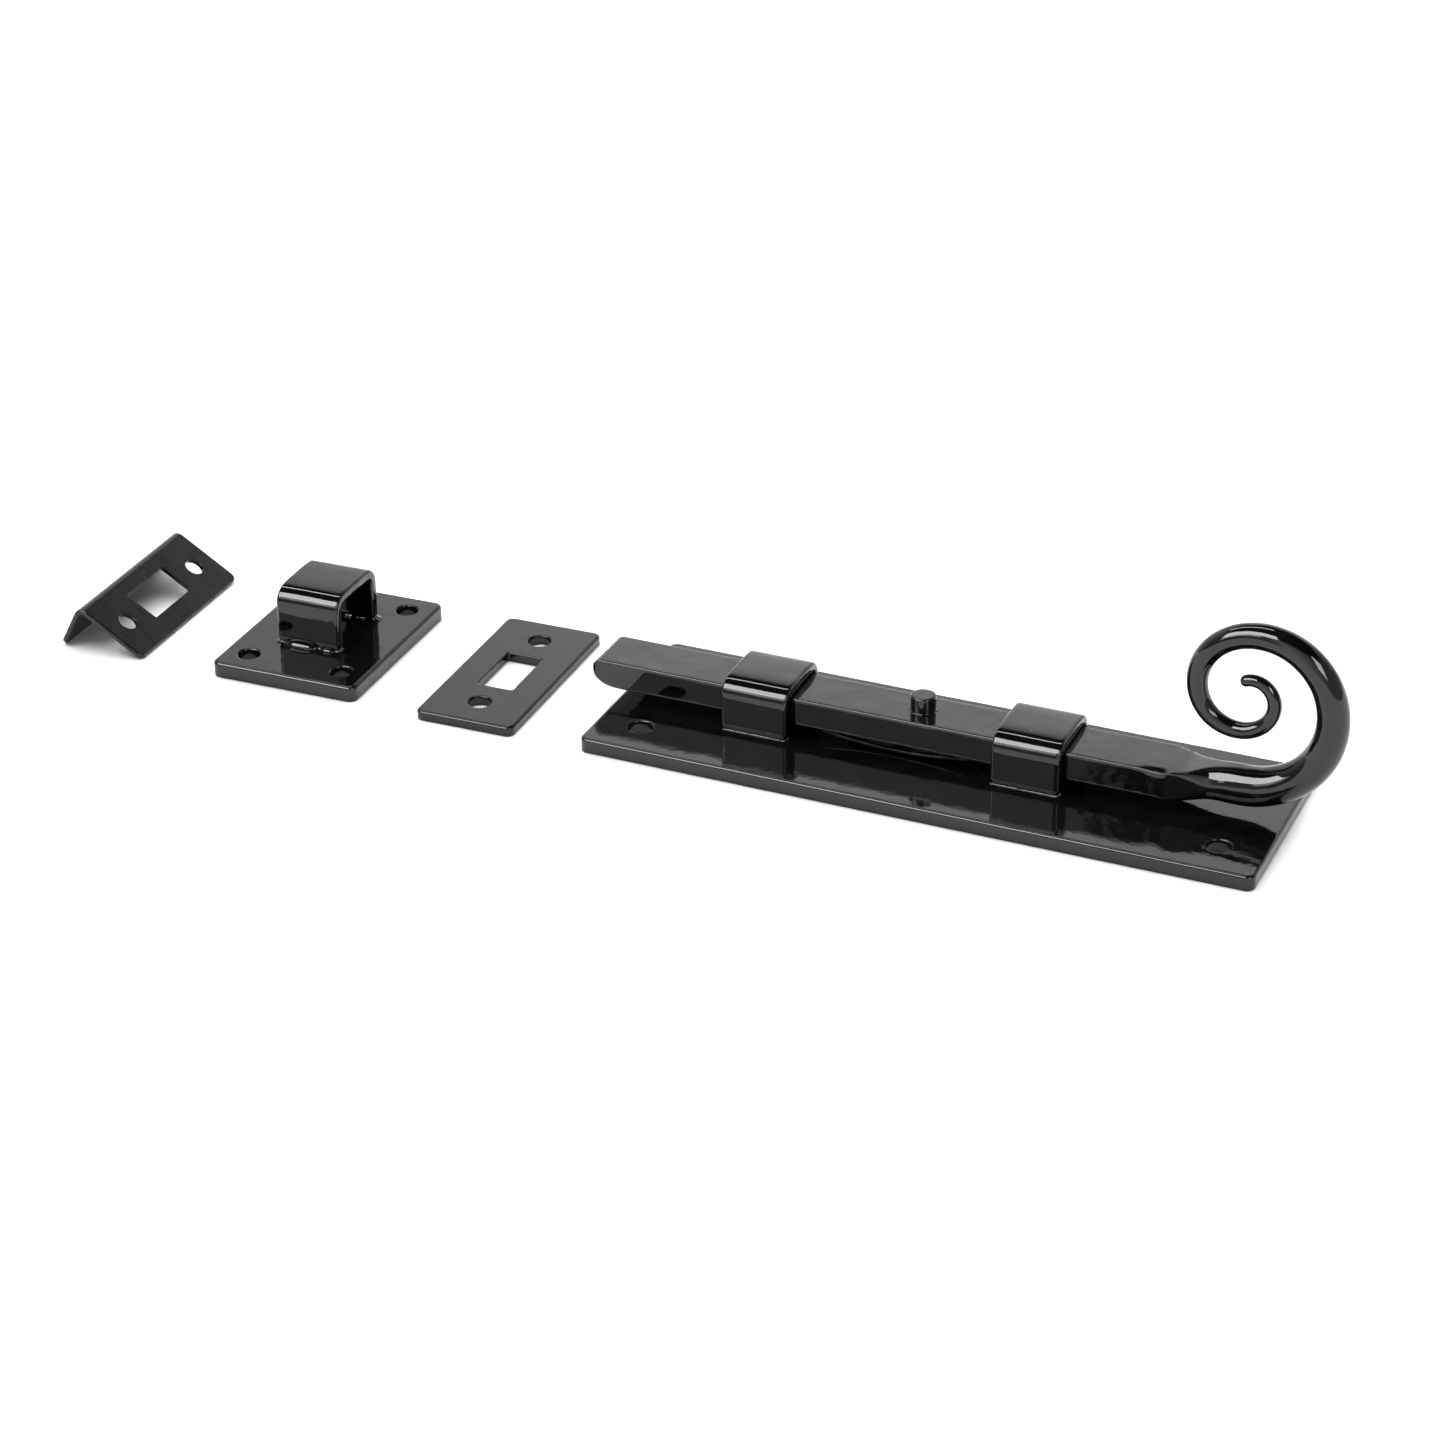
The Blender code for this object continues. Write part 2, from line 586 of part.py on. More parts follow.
def main():
    clear_scene()
    base = make_empty("bolt_base", (0, 0, 0))
    build_back_plate(base)
    for name, x in (("front_staple", FRONT_STAPLE_X), ("rear_staple", REAR_STAPLE_X)):
        staple(name, STAPLE_LENGTH, STAPLE_WIDTH, STAPLE_TOP, PLATE_THICKNESS, base, (x, 0, 0))
    build_spring(base)
    build_spring_rivet(base)
    slider = make_empty("bolt_slide", (0, 0, 0), parent=base)
    build_bolt_bar(slider)
    build_tail(slider)
    build_stop_pin(slider)
    row = make_empty("keep_row", (*FLAT_KEEP_PLACE, 0), ROW_TWIST)
    build_flat_keep(make_empty("flat_keep_lift", (0, 0, 0), parent=row))
    build_bridge_keep(make_empty("bridge_keep_lift", (BRIDGE_KEEP_OFFSET, 0, 0), parent=row))
    build_angle_keep(make_empty("angle_keep_lift", (ANGLE_KEEP_OFFSET, 0, 0), parent=row))
    bpy.context.view_layer.update()


main()
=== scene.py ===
"""Looks of the sliding door bolt and its three keeps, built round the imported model.

Every shown piece is a finer mesh that stands for its CAD node; the bar and its scrolled tail are
shown as one forging. Rolled edges, forged facets, hammer waves and beads of paint are geometry, and
the enamel's finer texture comes from its shader nodes. Lengths are in metres, and places are in the
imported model's own frame.
"""

import math
import random

import bmesh
import bpy
from mathutils import Matrix, Vector, kdtree, noise
from mathutils.geometry import delaunay_2d_cdt


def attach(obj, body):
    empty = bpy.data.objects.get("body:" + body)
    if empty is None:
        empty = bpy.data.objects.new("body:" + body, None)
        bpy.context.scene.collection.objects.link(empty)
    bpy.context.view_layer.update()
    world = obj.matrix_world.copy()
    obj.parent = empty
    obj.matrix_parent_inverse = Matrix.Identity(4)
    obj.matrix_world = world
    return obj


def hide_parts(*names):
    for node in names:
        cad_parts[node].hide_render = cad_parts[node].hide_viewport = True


# The camera: place, aim, roll and lens.
CAMERA_PLACE = Vector((0.2256, -0.6288, 0.3728))
CAMERA_AIM = Vector((-0.05237, -0.00043, 0.0))
CAMERA_ROLL = math.radians(-0.402)
CAMERA_LENS = 87.9

# Back plate: length, width and thickness, then its openings. Screw holes are (x, y, radius).
PLATE_SIZE = (0.152, 0.050, 0.0035)
PLATE_CORNER = 0.0020
PLATE_EDGE = 0.0007
PLATE_HOLES = (0.0656, 0.015, 0.0027)
STAPLE_XS = {"front_staple": -0.0411, "rear_staple": 0.0212}
SLOT_SIZE = (0.0086, 0.0024)
RIVET_HOLE_RADIUS = 0.0017
GAP = 0.0003

# Edges of plates: the underside's rounding, the flat ring beside each edge, the size of an
# outline's waver and the lip of paint round each screw hole (height, distance out, width).
FOOT_EDGE = 0.0003
EDGE_SUPPORT = 0.00012
WOBBLE_SIZE = 0.004
HOLE_LIP = (0.000015, 0.0006, 0.0004)

# Leaf spring and its rivet.
SPRING_X = -0.00995
SPRING_HALF_LENGTH = 0.018
SPRING_HALF_WIDTH = 0.00475
SPRING_THICKNESS = 0.0007
RIVET_RADIUS = 0.0014
RIVET_HEAD_RADIUS = 0.0023

# Strap staples: length along the bolt, width over the legs and height of the top. A strap tapers
# over (height above its foot, off its half length, off its half thickness), its edges ripple by
# (depth, size), and the bead of paint pooled round a foot is (reach, height).
STRAP_THICKNESS = 0.0024
STRAP_BEND = 0.0027
STRAP_CROWN = math.radians(6)
STRAP_EDGE = 0.0006
STAPLE_SIZE = (0.0155, 0.0189, 0.0157)
FOOT_TAPER = (0.0016, 0.0008, 0.0003)
STRAP_RIPPLE = (0.00009, 0.0032)
STAPLE_BEAD = (0.00065, 0.00045)
BEAD_BORDERS = (-0.0003, 0.0004)
TENON_SIZE = (0.008, 0.0018)
TENON_END = 0.0002

# Bolt bar and its stop pin. The depths are where the nose has sections, behind its tip.
BAR_NOSE_X = -0.0814
BAR_END_X = 0.049
BAR_HALF_WIDTH = 0.0065
BAR_HALF_HEIGHT = 0.00325
BAR_BOTTOM = 0.0065
BAR_TOP = 0.013
BAR_EDGE = 0.00045
NOSE_TOP_RADIUS = 0.0023
NOSE_LEAD = 0.0058
NOSE_EDGE = 0.0009
NOSE_DEPTHS = (0.00002, 0.00008, 0.0002, 0.00036, 0.0006, 0.0009, 0.0013,
               0.0018, 0.0023, 0.003, 0.0038, 0.0047, 0.0058)
PIN_X = -0.0053
PIN_RADIUS = 0.0028
PIN_TOP = 0.0167
PIN_EDGE = 0.00042
PIN_BEAD = (0.00042, 0.0003)
PIN_BEAD_BORDERS = (-0.0001, 0.0004)

# Scrolled tail: centre line and diameters, as in the CAD.
TAIL_ROOT_X = 0.056
TAIL_AXIS_LIFT = 0.0004
TAIL_ROOT_DIAMETER = 0.0093
TAIL_TIP_DIAMETER = 0.0027
SCROLL_CENTRE = (0.0656, 0.0308)
SCROLL_START_RADIUS = 0.01924
SCROLL_START_ANGLE = math.radians(-27.7)
SCROLL_SWEEP = math.radians(486)
SCROLL_SHRINK = 0.1374
SCROLL_TIGHTEN = 0.0067

# The forged stretch of the tail. Each change from the bar's rectangle to a round rod runs from
# one x to another. Chamfer depths go by the chamfer's direction in degrees, seen along the bolt.
TAIL_LEAVES_BAR = (0.0490, 0.0505)
TAIL_FAR_SIDE_CLOSES = (0.0485, 0.0565)
TAIL_NEAR_SIDE_CLOSES = (0.0500, 0.0600)
TAIL_CHAMFERS_DEEPEN = (0.0492, 0.0620)
TAIL_HAMMER_BLOWS = (0.0500, 0.0560)
TAIL_CORNERS_EVEN_OUT = (0.0520, 0.0640)
TAIL_AXIS_LIFTS = (0.0530, 0.0620)
TAIL_GROWS_TALL = (0.0530, 0.0690)
TAIL_FAR_RIDGES_SOFTEN = (0.0600, 0.0690)
TAIL_TURNS_ROUND = (0.0620, 0.0800)
TAIL_TALLER = 0.0003
TAIL_FAR_BULGE = 0.0001
CHAMFER_DEPTHS = {140: 0.0017, 48: 0.0021, 226: 0.0013, 314: 0.0013}
CHAMFER_CLEARANCE = 0.0006
BLOW_SHARE = 0.03
BLOW_SIZE = 0.0046
CRISP_RIDGE = 46.0
SOFT_RIDGE = 12.0

# Hammer dent: its stretch along the bolt, how it fades from the near side and the top, its push.
DENT_DEEPENS = (0.0440, 0.0493)
DENT_ENDS = (0.0495, 0.0520)
DENT_NEAR = (0.0046, 0.0064)
DENT_UPPER = (0.0112, 0.0129)
DENT_PUSH = Vector((0, 0.0001, -0.0004))

# Row of keeps: place and twist, then each keep's offset along the row. A window is (length,
# width); the flat keep's holes are (y, radius) and the others' are (x, y, radius).
ROW_TWIST = math.radians(1.6)
FLAT_KEEP_PLACE = (-0.1047, -0.0008)
BRIDGE_KEEP_OFFSET = -0.0460
ANGLE_KEEP_OFFSET = -0.0987
FLAT_SIZE = (0.0238, 0.0496, 0.0024)
FLAT_CORNER = 0.0018
FLAT_EDGE = 0.00065
FLAT_WINDOW = (0.0086, 0.0162)
FLAT_HOLES = (0.01595, 0.0026)
BRIDGE_SIZE = (0.0364, 0.0462, 0.0038)
BRIDGE_EDGE = 0.0008
BRIDGE_HOLES = (0.0118, 0.0165, 0.0025)
BRIDGE_STAPLE_SHIFT = (-0.0005, 0.0010)
BRIDGE_STAPLE_SIZE = (0.0157, 0.0197, 0.0174)
BRIDGE_BEAD = (0.0011, 0.0008)

# Drops of enamel at the bridge's near foot: (place along it, half length, reach).
BRIDGE_DROPS = ((-0.0020, 0.0044, 0.0019), (0.0048, 0.0018, 0.0010))

# Angle keep; its window is (length, width, x) and x is measured from the folded corner.
ANGLE_WIDTH = 0.0447
ANGLE_SHORT_LEG = 0.0120
ANGLE_LONG_LEG = 0.0191
ANGLE_THICKNESS = 0.0012
ANGLE_CORNER = 0.0017
ANGLE_EDGE = 0.00034
ANGLE_BEND = math.radians(86)
ANGLE_BEND_RADIUS = 0.0022
ANGLE_WINDOW = (0.0085, 0.0160, 0.0096)
ANGLE_HOLES = (0.0103, 0.0154, 0.0022)
ANGLE_TILT = math.radians(32.06)
ANGLE_RIDGE = 0.01115

# Colours, each mottled from a dark tone to a light one.
ENAMEL_DARK = (0.0018, 0.0018, 0.0020)
ENAMEL_LIGHT = (0.0034, 0.0034, 0.0037)
STEEL_DARK = (0.012, 0.010, 0.009)
STEEL_LIGHT = (0.045, 0.038, 0.030)

# Studio walls: (height, grey, blue) from the floor to the dark ceiling, then how they dim with
# direction, as (from, to, brightness at the first, brightness at the second).
WALL_LEVELS = ((0.0, 1.8, 1.81), (0.44, 1.58, 1.5879), (0.56, 1.25, 1.25625), (0.70, 0.02, 0.021))
DIMMER_TO_THE_RIGHT = (0.0, 0.7, 1.0, 0.3)
DIMMER_NEARBY = (-0.45, 0.25, 0.25, 1.0)
DIMMER_TO_THE_LEFT = (-0.20, 0.0, 0.25, 0.9)
DIMMER_AT_FAR_LEFT = (-0.48, -0.37, 0.66, 1.0)
FLOOR_RADIUS = 4.0

# Lamps: direction from the object's middle, size and radiance. The side softbox stands high, so
# that the plates don't mirror it in low views from behind.
OBJECT_MIDDLE = Vector((-0.06, 0, 0))
SOFTBOX_DISTANCE = 1.1
SOFTBOXES = {
    "overhead_strip": ((-0.356, 0.24, 0.90), (0.95, 0.10), 12.0),
    "near_softbox": ((-0.356, -0.62, 0.695), (1.05, 0.49), 12.0),
    "near_panel": ((-0.45, -0.79, 0.45), (0.66, 0.28), 3.6),
    "side_softbox": ((0.80, -0.46, 0.50), (0.26, 0.50), 8.0),
}
GLOW_STRENGTH = 6.0
GLOW_ANGLE = math.radians(100)
GLOW_TURN = (math.radians(-12), math.radians(-14), 0)

# Faces that meet more sharply than this keep a crease.
CREASE = math.radians(50)

UP = Vector((0, 0, 1))


def smooth(value, start, end):
    """Eased step from 0 at start to 1 at end."""
    t = min(1.0, max(0.0, (value - start) / (end - start)))
    return t * t * (3 - 2 * t)


def mix(a, b, share):
    return a + (b - a) * share


def hump(value, centre, width):
    """Bell of height 1 about centre."""
    return math.exp(-(((value - centre) / width) ** 2))


def wave(point, size, seed):
    """Smooth noise from -1 to 1 whose features are about size across."""
    return noise.noise(Vector(point) / size + Vector((seed * 7.31, seed * 3.17, seed * 5.77)))


# ---------------------------------------------------------------- mesh helpers


def make_piece(name, bm, material, place=None):
    """Turns a bmesh into a smooth-shaded object whose place is baked into its vertices."""
    if place is not None:
        bmesh.ops.transform(bm, matrix=place, verts=bm.verts[:])
    bmesh.ops.recalc_face_normals(bm, faces=bm.faces[:])
    mesh = bpy.data.meshes.new(name)
    bm.to_mesh(mesh)
    bm.free()
    mesh.shade_smooth()
    mesh.set_sharp_from_angle(angle=CREASE)
    mesh.materials.append(material)
    piece = bpy.data.objects.new(name, mesh)
    bpy.context.scene.collection.objects.link(piece)
    return piece


def rectangle_ring(half_u, half_v, radius, steps_u, steps_v, corner_steps=5):
    """Points round a rectangle with rounded corners and divided sides, anticlockwise from +u."""
    radius = min(radius, 0.98 * half_u, 0.98 * half_v)
    points = []
    for quarter, (su, sv) in enumerate(((1, 1), (-1, 1), (-1, -1), (1, -1))):
        centre = Vector((su * (half_u - radius), sv * (half_v - radius)))
        start = math.pi / 2 * quarter
        for i in range(corner_steps + 1):
            angle = start + math.pi / 2 * i / corner_steps
            points.append(centre + radius * Vector((math.cos(angle), math.sin(angle))))
        along = Vector((-math.sin(start + math.pi / 2), math.cos(start + math.pi / 2)))
        length = 2 * ((half_v if quarter % 2 else half_u) - radius)
        steps = steps_v if quarter % 2 else steps_u
        corner = points[-1]
        points += [corner + along * length * i / steps for i in range(1, steps)]
    return points


def circle_ring(x, y, radius, sides):
    turn = [2 * math.pi * i / sides for i in range(sides)]
    return [Vector((x + radius * math.cos(a), y + radius * math.sin(a))) for a in turn]


def join_rings(bm, first, second):
    for i in range(len(first)):
        j = (i + 1) % len(first)
        bm.faces.new((first[i], first[j], second[j], second[i]))


def loft(bm, rings):
    """Joins closed rings of equal length into one solid with fanned ends."""
    loops = [[bm.verts.new(point) for point in ring] for ring in rings]
    for first, second in zip(loops, loops[1:]):
        join_rings(bm, first, second)
    for loop in (loops[0], loops[-1]):
        middle = bm.verts.new(sum((v.co for v in loop), Vector()) / len(loop))
        for i in range(len(loop)):
            bm.faces.new((loop[i], loop[(i + 1) % len(loop)], middle))


def turned(bm, profile, x, y, sides=48):
    """Adds a solid turned about a vertical axis from (radius, height) pairs, bottom first."""
    rings = []
    for radius, z in profile:
        rings.append([p.to_3d() + UP * z for p in circle_ring(x, y, radius, sides)])
    loft(bm, rings)


def hammered(bm, depth, size, seed, keep=None):
    """Pushes the surface in by smooth noise, never out; keep(co) from 0 to 1 scales the depth."""
    bm.normal_update()
    moves = []
    for vertex in bm.verts:
        push = depth * (wave(vertex.co, size, seed) - 1) / 2
        moves.append(vertex.normal * push * (keep(vertex.co) if keep else 1.0))
    for vertex, move in zip(bm.verts, moves):
        vertex.co += move


def paint_bead(bm, inner, outer, reach, height, seed):
    """Bead of pooled paint round a foot, spreading from the inner outline towards the outer."""
    profile = ((-0.2, -0.3), (0.0, 1.0), (0.10, 0.52), (0.26, 0.26), (0.52, 0.09), (1.0, 0.0))
    loops = []
    for share, lift in profile:
        loop = []
        for a, b in zip(inner, outer):
            swell = 1 + 0.7 * wave(a, 0.0014, seed) + 0.6 * wave(a, 0.0006, seed + 1)
            out = (b - a).normalized()
            loop.append(bm.verts.new(a + out * share * reach * swell + UP * lift * height * swell))
        loops.append(loop)
    for first, second in zip(loops, loops[1:] + loops[:1]):
        join_rings(bm, first, second)


# ---------------------------------------------------------------- plates with openings


def dense(loop, step):
    """Divides a loop's long sides so that no side is longer than step."""
    points = []
    for a, b in zip(loop, loop[1:] + loop[:1]):
        count = max(1, math.ceil((b - a).length / step))
        points += [a.lerp(b, i / count) for i in range(count)]
    return points


def offset(loop, distance):
    """Moves a loop to its left, which is into the material."""
    moved = []
    for i, point in enumerate(loop):
        before, after = loop[i - 1], loop[(i + 1) % len(loop)]
        first, second = (point - before).normalized(), (after - point).normalized()
        left = Vector((-first.y, first.x)) + Vector((-second.y, second.x))
        left.normalize()
        moved.append(point + left * distance)
    return moved


def edge_profile(edge, thickness):
    """(inset, height) pairs from the top face, round the edge, to the underside."""
    profile = [(edge + EDGE_SUPPORT, thickness)]
    for i in range(6):
        angle = math.pi / 2 * i / 5
        profile.append((edge * (1 - math.sin(angle)), thickness - edge * (1 - math.cos(angle))))
    for share in (0.75, 0.5, 0.25):
        profile.append((0.0, mix(FOOT_EDGE, thickness - edge, share)))
    for i in range(4):
        angle = math.pi / 2 * i / 3
        profile.append((FOOT_EDGE * (1 - math.cos(angle)), FOOT_EDGE * (1 - math.sin(angle))))
    profile.append((FOOT_EDGE + EDGE_SUPPORT, 0.0))
    return profile


def within(point, loop, margin):
    """True if the point is inside a convex clockwise loop grown by margin."""
    for a, b in zip(loop, loop[1:] + loop[:1]):
        side = b - a
        if side.cross(point - a) > margin * side.length:
            return False
    return True


def cap(bm, loops, rings, height, spacing, seed):
    """Fills the face between the outline and its openings with an even triangle mesh."""
    points, edges, owners, verts = [], [], [], []
    for k, (loop, ring) in enumerate(zip(loops, rings)):
        base = len(points)
        points += loop
        verts += ring
        owners += [k] * len(loop)
        edges += [(base + i, base + (i + 1) % len(loop)) for i in range(len(loop))]
    tree = kdtree.KDTree(len(points))
    for i, point in enumerate(points):
        tree.insert(point.to_3d(), i)
    tree.balance()
    chance = random.Random(seed)
    outer = loops[0]
    low = Vector((min(p.x for p in outer), min(p.y for p in outer)))
    high = Vector((max(p.x for p in outer), max(p.y for p in outer)))
    columns = int((high.x - low.x) / spacing)
    rows = int((high.y - low.y) / spacing)
    for i in range(1, columns):
        for j in range(1, rows):
            jitter = Vector((chance.uniform(-0.2, 0.2), chance.uniform(-0.2, 0.2)))
            point = low + (Vector((i, j)) + jitter) * spacing
            _, _, clearance = tree.find(point.to_3d())
            if clearance < 0.6 * spacing:
                continue
            if any(within(point, hole, 0.3 * spacing) for hole in loops[1:]):
                continue
            points.append(point)
            owners.append(-1)
            verts.append(bm.verts.new((point.x, point.y, height)))
    made = delaunay_2d_cdt(points, edges, [], 1, 1e-8)
    source = [origin[0] for origin in made[3]]
    for face in made[2]:
        corner = [source[i] for i in face]
        owner = {owners[i] for i in corner}
        if len(owner) == 1 and owner.pop() > 0:
            continue
        bm.faces.new([verts[i] for i in corner])


def plate(outline, openings, thickness, edge, spacing, seed, wobble=0.00008):
    """Slab with rolled edges. The outline runs anticlockwise; openings are (loop, edge) pairs."""
    bm = bmesh.new()
    borders = [(dense(outline, spacing), edge)]
    borders += [(dense(loop, spacing / 2)[::-1], rim) for loop, rim in openings]
    top_loops, top_rings, low_loops, low_rings = [], [], [], []
    for k, (loop, rim) in enumerate(borders):
        ragged = []
        for point, moved in zip(loop, offset(loop, 1.0)):
            inward = moved - point
            share = (wave(point.to_3d(), WOBBLE_SIZE, seed + k) + 1) / 2
            ragged.append(point + inward * wobble * share)
        rings = []
        for inset, height in edge_profile(rim, thickness):
            shifted = offset(ragged, inset)
            rings.append([bm.verts.new((p.x, p.y, height)) for p in shifted])
            if len(rings) == 1:
                top_loops.append(shifted)
        low_loops.append(shifted)
        for first, second in zip(rings, rings[1:]):
            join_rings(bm, first, second)
        top_rings.append(rings[0])
        low_rings.append(rings[-1])
    cap(bm, top_loops, top_rings, thickness, spacing, seed)
    cap(bm, low_loops, low_rings, 0.0, spacing * 4, seed + 1)
    return bm


def rolled(bm, thickness, depth, size, seed, rims=()):
    """Shallow waves of hand-rolled stock on the upper side, and a lip of paint round each hole."""
    lip_height, lip_distance, lip_width = HOLE_LIP
    for vertex in bm.verts:
        share = smooth(vertex.co.z, 0.3 * thickness, thickness)
        swell = wave(vertex.co, size, seed) + wave(vertex.co, size * 0.45, seed + 2) * 0.4
        drop = depth * (swell - 1.4) / 2.8
        lip = 0.0
        for x, y, radius in rims:
            distance = math.hypot(vertex.co.x - x, vertex.co.y - y) - radius
            lip += lip_height * hump(distance, lip_distance, lip_width)
        vertex.co.z += share * (drop + lip)


# ---------------------------------------------------------------- materials


def node(tree, kind, **settings):
    made = tree.nodes.new(kind)
    for key, value in settings.items():
        setattr(made, key, value)
    return made


def noise_texture(tree, coordinates, scale, detail, roughness=0.5, stretch=None):
    """Noise whose features are about 1 / scale across."""
    if stretch is not None:
        mapping = node(tree, "ShaderNodeMapping")
        mapping.inputs["Scale"].default_value = stretch
        tree.links.new(coordinates, mapping.inputs["Vector"])
        coordinates = mapping.outputs["Vector"]
    texture = node(tree, "ShaderNodeTexNoise")
    texture.inputs["Scale"].default_value = scale
    texture.inputs["Detail"].default_value = detail
    texture.inputs["Roughness"].default_value = roughness
    tree.links.new(coordinates, texture.inputs["Vector"])
    return texture.outputs["Fac"]


def spread(tree, value, low, high, to_low, to_high):
    """Maps a range of a value to another, held at its ends."""
    made = node(tree, "ShaderNodeMapRange")
    made.inputs["From Min"].default_value = low
    made.inputs["From Max"].default_value = high
    made.inputs["To Min"].default_value = to_low
    made.inputs["To Max"].default_value = to_high
    tree.links.new(value, made.inputs["Value"])
    return made.outputs["Result"]


def combined(tree, operation, first, second):
    made = node(tree, "ShaderNodeMath", operation=operation)
    tree.links.new(first, made.inputs[0])
    tree.links.new(second, made.inputs[1])
    return made.outputs["Value"]


def bump(tree, height, distance, normal=None):
    made = node(tree, "ShaderNodeBump")
    made.inputs["Distance"].default_value = distance
    tree.links.new(height, made.inputs["Height"])
    if normal is not None:
        tree.links.new(normal, made.inputs["Normal"])
    return made.outputs["Normal"]


def two_tone(tree, share, dark, light):
    ramp = node(tree, "ShaderNodeValToRGB")
    first, last = ramp.color_ramp.elements
    first.position, first.color = 0.35, (*dark, 1)
    last.position, last.color = 0.7, (*light, 1)
    tree.links.new(share, ramp.inputs["Fac"])
    return ramp.outputs["Color"]


def nibs(tree, coordinates, scale, size):
    """Sparse round grains of dust under the paint: 1 at a grain's middle, 0 elsewhere."""
    cells = node(tree, "ShaderNodeTexVoronoi", feature="F1")
    cells.inputs["Scale"].default_value = scale
    cells.inputs["Randomness"].default_value = 1.0
    tree.links.new(coordinates, cells.inputs["Vector"])
    return spread(tree, cells.outputs["Distance"], 0.0, size * scale, 1.0, 0.0)


def painted(name, gloss, shine, waves, peel, grain):
    """Black stove enamel. gloss is a range of roughness; waves, peel and grain are bump heights."""
    material = bpy.data.materials.new(name)
    material.use_nodes = True
    tree = material.node_tree
    shader = tree.nodes["Principled BSDF"]
    shader.inputs["Metallic"].default_value = 0.0
    shader.inputs["IOR"].default_value = 1.5
    shader.inputs["Specular IOR Level"].default_value = shine
    place = node(tree, "ShaderNodeTexCoord").outputs["Object"]
    clouds = noise_texture(tree, place, 160.0, 4.0, 0.6)
    colour = two_tone(tree, clouds, ENAMEL_DARK, ENAMEL_LIGHT)
    tree.links.new(colour, shader.inputs["Base Color"])
    smears = noise_texture(tree, place, 420.0, 5.0, 0.65, stretch=(0.35, 1.0, 1.0))
    tree.links.new(spread(tree, smears, 0.35, 0.7, *gloss), shader.inputs["Roughness"])
    normal = None
    for scale, height in ((230.0, waves), (900.0, peel), (4200.0, grain)):
        normal = bump(tree, noise_texture(tree, place, scale, 2.0), height, normal)
    normal = bump(tree, nibs(tree, place, scale=95.0, size=0.00022), 0.00007, normal)
    tree.links.new(normal, shader.inputs["Normal"])
    return material


def spring_steel():
    """Blued spring leaf: brownish grey, brushed along its length, with paint speckle."""
    material = bpy.data.materials.new("spring_steel_look")
    material.use_nodes = True
    tree = material.node_tree
    shader = tree.nodes["Principled BSDF"]
    shader.inputs["Metallic"].default_value = 1.0
    place = node(tree, "ShaderNodeTexCoord").outputs["Object"]
    clouds = noise_texture(tree, place, 300.0, 5.0, 0.6)
    colour = two_tone(tree, clouds, STEEL_DARK, STEEL_LIGHT)
    tree.links.new(colour, shader.inputs["Base Color"])
    brushed = noise_texture(tree, place, 2600.0, 3.0, 0.6, stretch=(0.04, 1.0, 1.0))
    tree.links.new(spread(tree, brushed, 0.3, 0.7, 0.24, 0.46), shader.inputs["Roughness"])
    tree.links.new(bump(tree, brushed, 0.000006), shader.inputs["Normal"])
    return material


# ---------------------------------------------------------------- base


def flat_outline(length, width, corner):
    return rectangle_ring(length / 2, width / 2, corner, 1, 1, 6)


def opening(x, y, length, width, corner, rim):
    """Rectangular opening in a plate, with the size of its rolled rim."""
    loop = rectangle_ring(length / 2, width / 2, corner, 1, 1, 3)
    return [p + Vector((x, y)) for p in loop], rim


def tenon_slots(x, y, width):
    leg = (width - STRAP_THICKNESS) / 2
    return [opening(x, y + side * leg, *SLOT_SIZE, corner=0.0003, rim=0.0001) for side in (-1, 1)]


def holes(places, radius, rim):
    return [(circle_ring(x, y, radius, 40), rim) for x, y in places]


def build_back_plate(material):
    length, width, thickness = PLATE_SIZE
    x, y, radius = PLATE_HOLES
    corners = [(sx * x, sy * y) for sx in (-1, 1) for sy in (-1, 1)]
    cut = holes(corners, radius, rim=0.0004)
    cut += holes([(SPRING_X, 0)], RIVET_HOLE_RADIUS, rim=0.0002)
    for staple_x in STAPLE_XS.values():
        cut += tenon_slots(staple_x, 0, STAPLE_SIZE[1])
    outline = flat_outline(length, width, PLATE_CORNER)
    bm = plate(outline, cut, thickness, PLATE_EDGE, spacing=0.0011, seed=3)
    rims = [(*corner, radius) for corner in corners]
    rolled(bm, thickness, depth=0.00010, size=0.019, seed=5, rims=rims)
    return make_piece("back_plate_look", bm, material)


def strap_path(width, top, foot, shift):
    """Strap staple's centre line and outward directions: a slightly crowned top, bends and legs."""
    leg = (width - STRAP_THICKNESS) / 2
    run = leg - STRAP_BEND * (1 - math.sin(STRAP_CROWN))
    top_steps, bend_steps, leg_steps = 14, 12, 17
    y, z = 0.0, top - STRAP_THICKNESS / 2
    half = []
    for i in range(top_steps):
        tilt = STRAP_CROWN * (i / top_steps) ** 3
        half.append((Vector((0, y, z)), Vector((0, math.sin(tilt), math.cos(tilt)))))
        tilt = STRAP_CROWN * ((i + 0.5) / top_steps) ** 3
        y += run / top_steps * math.cos(tilt)
        z -= run / top_steps * math.sin(tilt)
    centre = Vector((0, leg - STRAP_BEND, z - STRAP_BEND * math.cos(STRAP_CROWN)))
    for i in range(bend_steps + 1):
        tilt = mix(STRAP_CROWN, math.pi / 2, i / bend_steps)
        out = Vector((0, math.sin(tilt), math.cos(tilt)))
        half.append((centre + out * STRAP_BEND, out))
    for i in range(1, leg_steps + 1):
        half.append((Vector((0, leg, mix(centre.z, foot, i / leg_steps))), Vector((0, 1, 0))))
    mirrored = [(Vector((0, -p.y, p.z)), Vector((0, -o.y, o.z))) for p, o in half[:0:-1]]
    return [(p + Vector((*shift, 0)), o) for p, o in mirrored + half]


